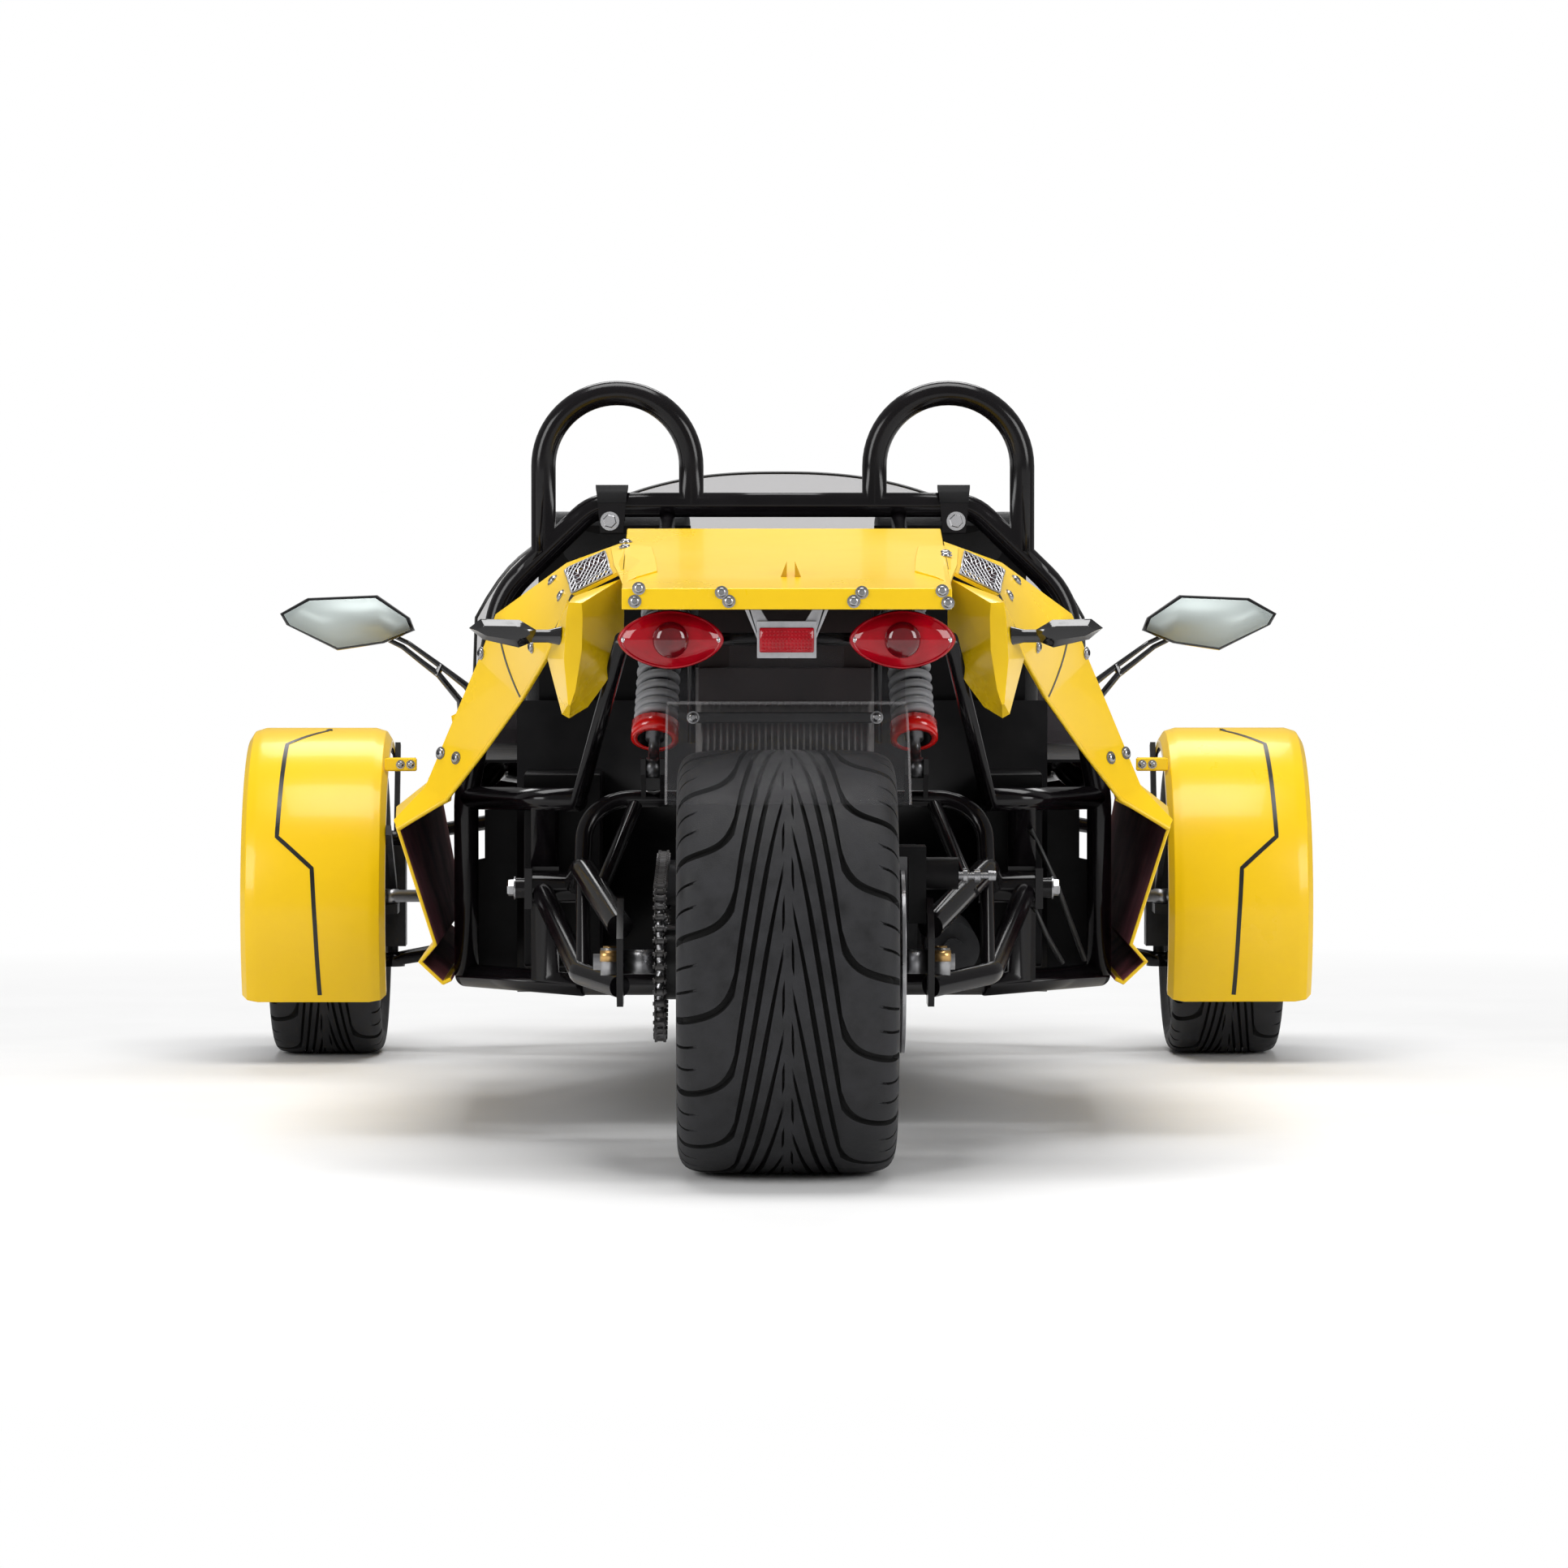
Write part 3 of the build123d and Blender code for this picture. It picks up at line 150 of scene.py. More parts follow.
# Finishes of the material slots
YELLOW = (0.93, 0.6, 0.008)
finish("yellow_paint", YELLOW, (0.88, 0.55, 0.006), (0.26, 0.34), 4, 900, 0.02, 0.0003, coat=0.15,
       gleam=0.3)
finish("black_tube", (0.003, 0.0024, 0.003), (0.006, 0.005, 0.006), (0.12, 0.2), 14, 1200, 0.05, 0.0003,
       gleam=0.28)
finish("tyre_rubber", (0.007, 0.007, 0.008), (0.026, 0.026, 0.029), (0.5, 0.8), 34, 600, 0.3, 0.0008,
       gleam=0.35)
finish("black_alloy", (0.008, 0.008, 0.009), (0.015, 0.015, 0.016), (0.26, 0.38), 18, 900, 0.05, 0.0003,
       gleam=0.4)
finish("disc_steel", (0.42, 0.42, 0.43), (0.3, 0.3, 0.31), (0.24, 0.42), 40, 900, 0.12, 0.0003, metal=1.0,
       stretch=(1, 6, 6))
finish("chain_steel", (0.13, 0.13, 0.135), (0.06, 0.055, 0.05), (0.3, 0.48), 60, 900, 0.1, 0.0003,
       metal=0.9)
finish("cast_metal", (0.03, 0.03, 0.032), (0.018, 0.018, 0.02), (0.42, 0.6), 20, 500, 0.25, 0.0008,
       metal=0.5)
finish("brass", (0.62, 0.4, 0.16), (0.48, 0.29, 0.11), (0.25, 0.42), 60, 900, 0.08, 0.0003, metal=1.0)
finish("spring_grey", (0.4, 0.405, 0.43), (0.33, 0.335, 0.355), (0.3, 0.42), 30, 700, 0.06, 0.0004,
       coat=0.25)
finish("damper_metal", (0.12, 0.12, 0.125), (0.08, 0.08, 0.085), (0.25, 0.4), 30, 800, 0.08, 0.0003,
       metal=0.8)
finish("red_paint", (0.78, 0.01, 0.008), (0.66, 0.006, 0.005), (0.18, 0.28), 30, 900, 0.04, 0.0003,
       coat=0.6)
finish("black_plastic", (0.003, 0.003, 0.0035), (0.007, 0.0065, 0.007), (0.32, 0.48), 16, 1400, 0.18,
       0.0004, gleam=0.13)
finish("mesh_metal", (0.58, 0.58, 0.6), (0.42, 0.42, 0.44), (0.25, 0.4), 60, 900, 0.08, 0.0003, metal=1.0)
finish("red_lens", (0.44, 0.001, 0.01), (0.29, 0.001, 0.006), (0.04, 0.08), 30, 300, 0.03, 0.0004,
       coat=0.3, gleam=0.3)
finish("clear_plastic", (0.1, 0.1, 0.105), (0.07, 0.07, 0.075), (0.04, 0.1), 7, 200, 0.02, 0.0003,
       alpha=0.1, gleam=0.12)
finish("seat_cover", (0.006, 0.006, 0.007), (0.013, 0.013, 0.014), (0.38, 0.52), 12, 330, 0.35, 0.0007,
       pattern="cells", gleam=0.28)
finish("grip_leather", (0.012, 0.012, 0.012), (0.024, 0.023, 0.022), (0.35, 0.5), 22, 420, 0.35, 0.0006,
       pattern="cells")
finish("mirror_face", (0.44, 0.49, 0.48), (0.41, 0.46, 0.45), (0.42, 0.5), 6, 60, 0.01, 0.0002, metal=0.35)
finish("cable_rubber", (0.01, 0.01, 0.01), (0.02, 0.02, 0.02), (0.4, 0.6), 40, 900, 0.1, 0.0003)
SLOT_OF = {part["node"]: part["material_slot"] for part in frame["record"]["subparts"]}

# Other finishes, for pieces of the scene and for the backs of panels
finish("bolt_steel", (0.42, 0.42, 0.43), (0.26, 0.26, 0.27), (0.18, 0.32), 90, 1200, 0.08, 0.0002,
       metal=1.0)
finish("black_line", (0.004, 0.004, 0.004), (0.009, 0.009, 0.009), (0.25, 0.4), 30, 900, 0.05, 0.0002)
finish("webbing", (0.005, 0.005, 0.0055), (0.012, 0.012, 0.013), (0.65, 0.8), 40, 900, 0.5, 0.001,
       stretch=(1, 4, 4), gleam=0.2)
finish("panel_back", (0.04, 0.012, 0.014), (0.016, 0.008, 0.009), (0.8, 0.95), 9, 500, 0.3, 0.0008,
       gleam=0.08)
# Near-black, rougher rubber for the tread grooves: the darkness is painted shade in the recesses.
finish("groove_rubber_painted_shade", (0.004, 0.004, 0.004), (0.01, 0.01, 0.01), (0.7, 0.9), 30, 700, 0.2, 0.0006,
       gleam=0.2)
finish("tinted_screen", (0.28, 0.25, 0.265), (0.24, 0.215, 0.23), (0.04, 0.1), 7, 200, 0.02, 0.0003,
       alpha=0.29, coat=0.2)
finish("shroud", (0.02, 0.01, 0.01), (0.01, 0.006, 0.006), (0.35, 0.5), 12, 700, 0.1, 0.0003,
       gleam=0.25)
finish("gloss_black", (0.004, 0.004, 0.005), (0.009, 0.009, 0.01), (0.06, 0.12), 30, 900, 0.03, 0.0002,
       coat=0.5)
finish("lens_bulb", (0.16, 0.001, 0.005), (0.09, 0.001, 0.003), (0.03, 0.07), 40, 300, 0.03, 0.0003,
       coat=0.6, gleam=0.4)
# Inside of the side pods: a dark lining whose pink-maroon base colour is a painted reflection, made
# brighter as painted light where the inward faces get little lamp light.
finish("pod_lining_painted_reflection", (0.32, 0.09, 0.115), (0.13, 0.045, 0.058), (0.6, 0.8), 9, 500, 0.2, 0.0006, gleam=0.1)
finish("fin_metal", (0.13, 0.124, 0.124), (0.075, 0.07, 0.07), (0.35, 0.5), 50, 900, 0.1, 0.0003,
       metal=0.3)
# Pale, faint see-through finish for tubes on the guard's edges: a painted highlight.
finish("painted_guard_highlight", (0.62, 0.6, 0.61), (0.5, 0.48, 0.49), (0.1, 0.2), 20, 500, 0.02, 0.0002, alpha=0.12,
       gleam=0.15)
# Darker amber for the louvres' rear faces: painted shade.
finish("painted_shade_amber", (0.58, 0.34, 0.004), (0.5, 0.29, 0.003), (0.4, 0.5), 30, 900, 0.05, 0.0002)
finish("chrome_frame", (0.78, 0.78, 0.8), (0.66, 0.66, 0.68), (0.1, 0.2), 40, 900, 0.03, 0.0002,
       metal=1.0)


# Shapes

TINY = 1e-5
CHAMFER_LIMIT = 2.01
BOLT_HEAD = ((1.35, 0), (1.35, 0.18), (1.02, 0.2), (0.98, 0.4), (0.78, 0.62), (0.5, 0.7), (0.46, 0.3),
             (0, 0.3))
HEX_WASHER = ((1.4, 0), (1.4, 0.2), (1, 0.2), (1, 0.2))
HEX_HEAD = ((1.05, 0.2), (1.05, 0.85), (0.9, 1), (0, 1))


def angles(sides):
    return [2 * pi * k / sides for k in range(sides)]


class Shape:
    """Points and faces that grow into one mesh."""

    def __init__(self):
        self.verts = []
        self.faces = []

    def add(self, verts, faces):
        base = len(self.verts)
        self.verts += [tuple(v) for v in verts]
        self.faces += [[i + base for i in face] for face in faces]
        return self

    def rings(self, rings, closed=True, caps=True, loop=False):
        """Faces between rings of as many points each."""
        count = len(rings[0])
        verts = [p for ring in rings for p in ring]
        faces = []
        steps = len(rings) if loop else len(rings) - 1
        edges = count if closed else count - 1
        for i in range(steps):
            here = i * count
            there = (i + 1) % len(rings) * count
            for j in range(edges):
                k = (j + 1) % count
                faces.append([here + j, here + k, there + k, there + j])
        if caps and not loop:
            faces.append(list(range(count))[::-1])
            faces.append([(len(rings) - 1) * count + j for j in range(count)])
        return self.add(verts, faces)

    def tube(self, points, radius, sides, loop=False):
        """A round bar along points; radius may be a list, one for each point."""
        points = [Vector(p) for p in points]
        count = len(points)
        across = None
        rings = []
        for i, point in enumerate(points):
            before = points[i - 1] if i or loop else point
            after = points[(i + 1) % count] if i < count - 1 or loop else point
            run = (after - before).normalized()
            if across is None:
                across = run.orthogonal().normalized()
            across = (across - run * across.dot(run)).normalized()
            other = run.cross(across)
            size = radius[i] if isinstance(radius, (list, tuple)) else radius
            rings.append([point + (across * cos(a) + other * sin(a)) * size for a in angles(sides)])
        return self.rings(rings, loop=loop)

    def turned(self, profile, point, axis, sides):
        """A profile of (radius, height) turned about an axis."""
        axis = Vector(axis).normalized()
        across = axis.orthogonal().normalized()
        other = axis.cross(across)
        point = Vector(point)
        rings = []
        for radius, height in profile:
            middle = point + axis * height
            reach = max(radius, TINY)
            rings.append([middle + (across * cos(a) + other * sin(a)) * reach
                          for a in angles(sides)])
        return self.rings(rings)

    def scaled(self, profile, radius, point, axis, sides):
        """A turned profile given in parts of a radius."""
        self.turned([(across * radius, height * radius) for across, height in profile], point, axis, sides)

    def bolt(self, point, axis, radius):
        """A washer with a domed socket head on it."""
        self.scaled(BOLT_HEAD, radius, point, axis, 18)

    def hex_bolt(self, point, axis, radius):
        """A washer with a hexagon head on it."""
        self.scaled(HEX_WASHER, radius, point, axis, 18)
        self.scaled(HEX_HEAD, radius, point, axis, 6)

    def block(self, low, high, chamfer):
        """A box with its twelve edges taken off."""
        low = Vector(low)
        high = Vector(high)
        c = min(chamfer, min(high - low) / CHAMFER_LIMIT)
        rings = []
        for z, inset in ((low.z, c), (low.z + c, 0), (high.z - c, 0), (high.z, c)):
            x0, x1, y0, y1 = low.x + inset, high.x - inset, low.y + inset, high.y - inset
            k = max(c, TINY)
            rings.append([(x0 + k, y0, z), (x1 - k, y0, z), (x1, y0 + k, z), (x1, y1 - k, z),
                          (x1 - k, y1, z), (x0 + k, y1, z), (x0, y1 - k, z), (x0, y0 + k, z)])
        return self.rings(rings)

    def mirrored(self):
        other = Shape()
        other.verts = [(-x, y, z) for x, y, z in self.verts]
        other.faces = [face[::-1] for face in self.faces]
        return other

    def both_sides(self):
        """This shape and its mirror image in one."""
        image = self.mirrored()
        return self.add(image.verts, image.faces)

    def piece(self, name, slot, look=None, body="chassis", angle=32, nodes=()):
        """An object that rides on a body, with its slot's finish or a look of its own."""
        mesh = bpy.data.meshes.new(name)
        mesh.from_pydata(self.verts, [], self.faces)
        mesh.validate()
        mesh.update()
        mesh.shade_smooth()
        mesh.set_sharp_from_angle(angle=radians(angle))
        mesh.materials.append(FINISHES[look or slot])
        obj = bpy.data.objects.new(name, mesh)
        scene.collection.objects.link(obj)
        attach(obj, body)
        if nodes:
            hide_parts(*nodes)
        return obj


# Places found by looking through the photograph's pixels at the solids

def surface(*names):
    """The faces of CAD nodes, to be asked for places on them."""
    verts = []
    faces = []
    for name in names:
        mesh = NODES[name].data
        base = len(verts)
        verts += [v.co.copy() for v in mesh.vertices]
        faces += [[base + i for i in p.vertices] for p in mesh.polygons]
    return BVHTree.FromPolygons(verts, faces)


VIEW = CAMERA_TURN.to_matrix()
MIDDLE = IMAGE / 2
NEAR = 7.6
FAR = 10.8
SIGHT_STEPS = 160
ABOVE = 0.06


def sight(pixel):
    x, y = pixel
    return (VIEW @ Vector(((x - MIDDLE) / FOCAL_PX, (MIDDLE - y) / FOCAL_PX, -1))).normalized()


def seen(tree, pixel):
    """The point and the outward normal of a surface at a pixel, or the nearest to its line of sight."""
    ray = sight(pixel)
    point, normal, _, _ = tree.ray_cast(CAMERA_AT, ray)
    if point is None:
        best = None
        for step in range(SIGHT_STEPS + 1):
            at = CAMERA_AT + ray * (NEAR + (FAR - NEAR) * step / SIGHT_STEPS)
            found, facing, _, gap = tree.find_nearest(at)
            if best is None or gap < best[2]:
                best = (found, facing, gap)
        point, normal = best[0], best[1]
    if normal.dot(ray) > 0:
        normal = -normal
    return point, normal


def ribbon(shape, tree, pixels, width, lift, step=0.006):
    """A flat band on a surface along a line of pixels."""
    stops = [seen(tree, p) for p in pixels]
    path = []
    for (a, na), (b, nb) in zip(stops, stops[1:]):
        count = max(2, int((b - a).length / step))
        for i in range(count):
            t = i / count
            facing = na.lerp(nb, t).normalized()
            point, normal, _, _ = tree.ray_cast(a.lerp(b, t) + facing * ABOVE, -facing)
            path.append((point, normal))
    path.append(stops[-1])
    rings = []
    for i, (point, normal) in enumerate(path):
        before = path[max(i - 1, 0)][0]
        after = path[min(i + 1, len(path) - 1)][0]
        side = (after - before).cross(normal).normalized() * (width / 2)
        top = normal * lift
        rings.append([point - side - top, point + side - top, point + side + top, point - side + top])
    shape.rings(rings)


# Tyres with a directional tread

def smoothed(points, rounds=3):
    """A line with its corners rounded off."""
    for _ in range(rounds):
        line = [points[0]]
        for a, b in zip(points, points[1:]):
            line.append(a * 0.75 + b * 0.25)
            line.append(a * 0.25 + b * 0.75)
        line.append(points[-1])
        points = line
    return points


def tyre_profile(width, outer, bead, seat_half):
    """Half of a tyre's section from the crown's middle to the bead, as a function of the run along it."""
    wall = outer - bead
    points = smoothed([Vector(p) for p in (
        (0, outer), (0.3 * width, outer), (0.42 * width, outer - 0.035 * wall),
        (0.478 * width, outer - 0.15 * wall), (0.5 * width, bead + 0.52 * wall),
        (0.478 * width, bead + 0.3 * wall), (seat_half, bead + 0.009), (seat_half, bead + 0.001))])
    runs = [0.0]
    for a, b in zip(points, points[1:]):
        runs.append(runs[-1] + (b - a).length)

    def at(run):
        run = min(run, runs[-1])
        for i in range(len(runs) - 1):
            if run <= runs[i + 1] + 1e-9:
                t = (run - runs[i]) / (runs[i + 1] - runs[i])
                way = (points[i + 1] - points[i]).normalized()
                return points[i].lerp(points[i + 1], t), Vector((-way.y, way.x))
    return at, runs[-1]


def smooth_step(value, start, end):
    t = min(max((value - start) / (end - start), 0), 1)
    return t * t * (3 - 2 * t)


REAR_WIDTH = 0.27
FRONT_WIDTH = 0.165
BEAD_GAP = 0.0003
INNER_ROWS = (-0.0008, 0.002, 0.004, 0.0046, 0.0066, 0.0072, 0.01)
SHOULDER_ROWS = (0.0015, 0.003, 0.006)
WALL_ROWS = (0.1, 0.2, 0.3, 0.4, 0.46, 0.48, 0.54, 0.56, 0.66, 0.78, 0.9, 1)
WALL_RIB = 0.0012
WALL_RIB_SPAN = (0.475, 0.6)
GROOVE_WIDE = 0.0095
GROOVE_DEEP = 0.0065
GROOVE_FULL = 0.012
GROOVE_COLUMNS = (-1, -0.68, 0.68, 1)
SIPES = (1 / 3, 2 / 3)
SIPE_DEEP = 0.0045
SIPE_REACH = 0.015
CUT_DEEP = 0.005
CUT_RUN = (0.0043, 0.0069)
CUT_PART = (0.3, 0.52)
FADE = 0.004
SUNK = 0.002


def between(value, limits):
    return limits[0] < value < limits[1]


def tread_tyre(name, body, node, centre, width, outer, seat_half, pitches):
    """A tyre whose long grooves leave the middle, sweep back and turn out over the shoulder."""
    at, run_end = tyre_profile(width, outer, RIM_R + BEAD_GAP, seat_half)
    scale = width / REAR_WIDTH
    pitch = 2 * pi * outer / pitches
    sweep = 3.6 * pitch
    bend = 0.064 * scale
    edge = 0.108 * scale
    shoulder = 0.148 * scale
    knee = 0.03 * scale
    sipe_start = edge + FADE * scale
    rows = list(INNER_ROWS)
    for low, high, count in ((rows[-1], bend, 9), (bend, edge, 8), (edge, shoulder, 7)):
        rows += [low + (high - low) * i / count for i in range(1, count + 1)]
    rows += [shoulder + step for step in SHOULDER_ROWS]
    left = run_end - shoulder - SHOULDER_ROWS[-1]
    rows += [shoulder + SHOULDER_ROWS[-1] + left * f for f in WALL_ROWS]

    def lag(run):
        """How far a groove has swept back, along the road, at a place across the tread."""
        inner = min(max(run, 0), bend) / bend
        outer_run = min(max(run - bend, 0), shoulder - bend)
        turn_in = knee * (1 - exp(-outer_run / (0.4 * knee)))
        return sweep * (inner ** 1.15) + turn_in * 1.1 + 0.22 * outer_run

    def half_width(run):
        """Half of the groove's width along the road, as a part of the pitch."""
        slope = (lag(run + 0.0005) - lag(run)) / 0.0005
        wide = GROOVE_WIDE * (0.35 + 0.65 * smooth_step(run, FADE, bend * 0.8))
        return min(0.5 * wide * sqrt(1 + slope * slope) / pitch, 0.2)

    land = [0.1, 0.22]
    for middle in SIPES:
        land += [middle - 0.02, middle - 0.012, middle + 0.012, middle + 0.02, middle + 1 / 6]
    land = land[:-1] + [0.8, 0.9]
    columns = [("groove", f) for f in GROOVE_COLUMNS] + [("land", f) for f in land]
    grid = []
    for side in BOTH:
        lines = []
        for run in rows:
            point, normal = at(max(run, 0))
            point = Vector((run, point.y)) if run < 0 else point
            h = half_width(min(run, shoulder))
            fade_out = 1 - smooth_step(run, shoulder - FADE, shoulder)
            cells = []
            for kind, f in columns:
                down = 0.0
                if kind == "groove":
                    part = 0.5 + h * f
                    if abs(f) < 1:
                        down = GROOVE_DEEP * smooth_step(run, FADE, GROOVE_FULL) * fade_out
                else:
                    part = 0.5 + h + f * (1 - 2 * h)
                    if any(abs(f - middle) < SIPE_REACH for middle in SIPES):
                        down = SIPE_DEEP * smooth_step(run, sipe_start, sipe_start + FADE) * fade_out
                    if between(run, CUT_RUN) and between(f, CUT_PART):
                        down = CUT_DEEP
                place = point - normal * down
                if between((run - shoulder) / (run_end - shoulder), WALL_RIB_SPAN):
                    place = place + normal * WALL_RIB
                cells.append((part, place, down > SUNK))
            line = []
            for number in range(pitches):
                for part, place, sunk in cells:
                    road = (number + part + (0.5 if side > 0 else 0)) * pitch - lag(min(run, shoulder))
                    angle = -road / outer
                    line.append((centre[0] + side * place.x, centre[1] - place.y * sin(angle),
                                 centre[2] + place.y * cos(angle), sunk))
            lines.append(line)
        lines.append([(centre[0], y, z, False) for _, y, z, _ in lines[-1]])
        grid.append(lines[::-1] if side > 0 else lines)
    tyre = Shape()
    for lines in grid:
        tyre.rings([[p[:3] for p in line] for line in lines], caps=False)
    sunk = [p[3] for lines in grid for line in lines for p in line]
    obj = tyre.piece(name, "tyre_rubber", body=body, angle=28, nodes=(node,))
    # Faces sunk into the grooves get the near-black rubber: painted shade in the recesses.
    obj.data.materials.append(FINISHES["groove_rubber_painted_shade"])
    for face in obj.data.polygons:
        if sum(sunk[i] for i in face.vertices) >= 2:
            face.material_index = 1


REAR_SEAT = 0.1065
FRONT_SEAT = 0.0585
tread_tyre("rear_tyre_tread", "rear_wheel", "rear_tyre", (0, REAR_Y, REAR_R),
           REAR_WIDTH, REAR_R, REAR_SEAT, 16)
for side, name in SIDES:
    tread_tyre(f"tyre_tread_{name}", f"{name}_wheel", f"tyre_{name}", (side * WHEEL_X, FRONT_Y, FRONT_R),
               FRONT_WIDTH, FRONT_R, FRONT_SEAT, 14)


# Springs as wound wire

STEPS_OF_TURN = 28
END_CLOSE = 0.045
SPRING_FOOT = 0.2
SPRING_HEAD = 0.03


def wound(shape, low, high, coil_r, wire_r, turns, start, end):
    low = Vector(low)
    axis = (Vector(high) - low).normalized()
    across = axis.orthogonal().normalized()
    other = axis.cross(across)
    steps = int(turns * STEPS_OF_TURN)
    path = []
    for i in range(steps + 1):
        t = i / steps
        climb = t - END_CLOSE * sin(2 * pi * t)
        height = start + wire_r + (end - start - 2 * wire_r) * climb
        angle = 2 * pi * turns * t
        path.append(low + axis * height + (across * cos(angle) + other * sin(angle)) * coil_r)
    shape.tube(path, wire_r, 12)


REAR_SPRING = ((0.166, REAR_Y + 0.262, 0.486), (0.15, REAR_Y + 0.43, 0.7561))
FRONT_SPRING = ((0.43, FRONT_Y, 0.1852), (0.2453, FRONT_Y, 0.401))
springs = Shape()
for (low, high), coil_r, wire_r, turns in ((REAR_SPRING, 0.0224, 0.0056, 15),
                                           (FRONT_SPRING, 0.0216, 0.0054, 12)):
    length = (Vector(high) - Vector(low)).length
    for side in BOTH:
        wound(springs, (side * low[0], *low[1:]), (side * high[0], *high[1:]), coil_r, wire_r, turns,
              SPRING_FOOT * length, length - SPRING_HEAD)
springs.piece("spring_coils", "spring_grey", nodes=("springs",))


# Drive chain, link by link

CHAIN_X = -0.154
BIG = (REAR_Y, REAR_R, 0.0925)
SMALL = (REAR_Y + 0.47, 0.33, 0.036)


def chain_path():
    """The chain's line as a function of the run along it, and its whole length."""
    way = Vector((SMALL[0] - BIG[0], SMALL[1] - BIG[1]))
    distance = way.length
    heading = atan2(way.y, way.x)
    lean = asin((BIG[2] - SMALL[2]) / distance)
    straight = distance * cos(lean)
    big_arc = BIG[2] * (pi + 2 * lean)
    small_arc = SMALL[2] * (pi - 2 * lean)
    total = 2 * straight + big_arc + small_arc
    top = heading + pi / 2 - lean
    low = heading - pi / 2 + lean

    def on(circle, angle):
        return Vector((circle[0] + circle[2] * cos(angle), circle[1] + circle[2] * sin(angle)))

    def at(run):
        run %= total
        if run < straight:
            return on(BIG, top).lerp(on(SMALL, top), run / straight)
        run -= straight
        if run < small_arc:
            return on(SMALL, top - run / SMALL[2])
        run -= small_arc
        if run < straight:
            return on(SMALL, low).lerp(on(BIG, low), run / straight)
        run -= straight
        return on(BIG, low - run / BIG[2])
    return at, total


chain_at, chain_length = chain_path()
LINKS = 86
link_pitch = chain_length / LINKS
PLATE_R = 0.006
PLATE_WAIST = 0.75
PLATE_HALF = 0.0008
PLATE_GAPS = (0.0062, 0.0044)
ROLLER = (0.0048, 0.0036, 12)
PIN = (0.0024, 0.0085, 10)
chain = Shape()
for number in range(LINKS):
    a = chain_at(number * link_pitch)
    b = chain_at((number + 1) * link_pitch)
    run = (b - a).normalized()
    rise = Vector((-run.y, run.x))
    outline = []
    for end, sign in ((a, -1), (b, 1)):
        for k in range(7):
            turn_by = radians(-90 + 30 * k) * sign
            swing = run * (cos(turn_by) * sign) + rise * sin(turn_by)
            outline.append(end + swing * PLATE_R)
        if sign < 0:
            outline.append((a + b) / 2 + rise * (PLATE_WAIST * PLATE_R))
    outline.append((a + b) / 2 - rise * (PLATE_WAIST * PLATE_R))
    gap = PLATE_GAPS[number % 2]
    for side in BOTH:
        layers = [CHAIN_X + side * gap + dx for dx in (-PLATE_HALF, PLATE_HALF)]
        chain.rings([[(x, p.x, p.y) for p in outline] for x in layers])
    for radius, half, sides in (ROLLER, PIN):
        chain.turned([(radius, -half), (radius, half)], (CHAIN_X, a.x, a.y), (1, 0, 0), sides)
chain.piece("chain_links", "chain_steel", nodes=("drive_chain",))


# Vents of expanded mesh that follow the panel

vent_tree = surface("mesh_vents", "quarter_panels")
VENT_CLEAR = 0.006
VENT_LIFT = 0.0018
WIRE_R = 0.0008
BORDER_R = 0.0012
SHADE_SHEET_LIFT = 0.0006
VENT_PIXELS = ((696, 705), (747, 680), (757, 711), (706, 731))
vent_stops = [seen(vent_tree, p) for p in VENT_PIXELS]
vent_out = sum((n for _, n in vent_stops), Vector()).normalized()


def on_vent(u, v, lift):
    """A place between the vent's corners, lifted off the panel."""
    a, b, c, d = [p for p, _ in vent_stops]
    middle = a.lerp(b, u).lerp(d.lerp(c, u), v)
    point, normal, _, _ = vent_tree.find_nearest(middle + vent_out * VENT_CLEAR)
    return point + (normal if normal.dot(vent_out) > 0 else -normal) * lift


COLUMNS, ROWS = 9, 6
BORDER_U, BORDER_V = 8, 6
vent = Shape()
for i in range(COLUMNS):
    for j in range(ROWS):
        u0, u1, v0, v1 = i / COLUMNS, (i + 1) / COLUMNS, j / ROWS, (j + 1) / ROWS
        middle_u, middle_v = (u0 + u1) / 2, (v0 + v1) / 2
        corners = ((u0, middle_v), (middle_u, v0), (u1, middle_v), (middle_u, v1))
        for p, q in zip(corners, corners[1:] + corners[:1]):
            vent.tube([on_vent(*p, VENT_LIFT), on_vent(*q, VENT_LIFT)], WIRE_R, 4)
border = [(i / BORDER_U, 0) for i in range(BORDER_U)] + [(1, i / BORDER_V) for i in range(BORDER_V)]
border += [(1 - u, 1 - v) for u, v in border]
vent.tube([on_vent(u, v, VENT_LIFT) for u, v in border], BORDER_R, 6, loop=True)
vent.both_sides().piece("vent_mesh", "mesh_metal", nodes=("mesh_vents",))
# A dark sheet just off the panel behind the mesh: painted shade for the shaded opening of the vent.
shade_sheet = [[on_vent(u / BORDER_U, v / BORDER_V, SHADE_SHEET_LIFT) for v in range(BORDER_V + 1)]
           for u in range(BORDER_U + 1)]
vent_shade = Shape().rings(shade_sheet, closed=False, caps=False)
vent_shade.both_sides().piece("vent_painted_shade", "black_plastic", "panel_back")


# Seats: padded panels swollen by a cloth pass

SQUAB_HALF = 0.074
BACK_HALF = 0.104
SIDE_PADS = ((-0.11, -0.078), (0.078, 0.11))
FRAMES = 20
PAD_CAP = 0.009
TRAY = ((0.74, 0.2186), (1.128, 0.2186), (1.128, 0.236), (0.775, 0.236), (0.752, 0.3), (0.69, 0.52),
        (0.634, 0.775), (0.616, 0.79), (0.655, 0.6), (0.705, 0.37))
TRAY_HALF = 0.1


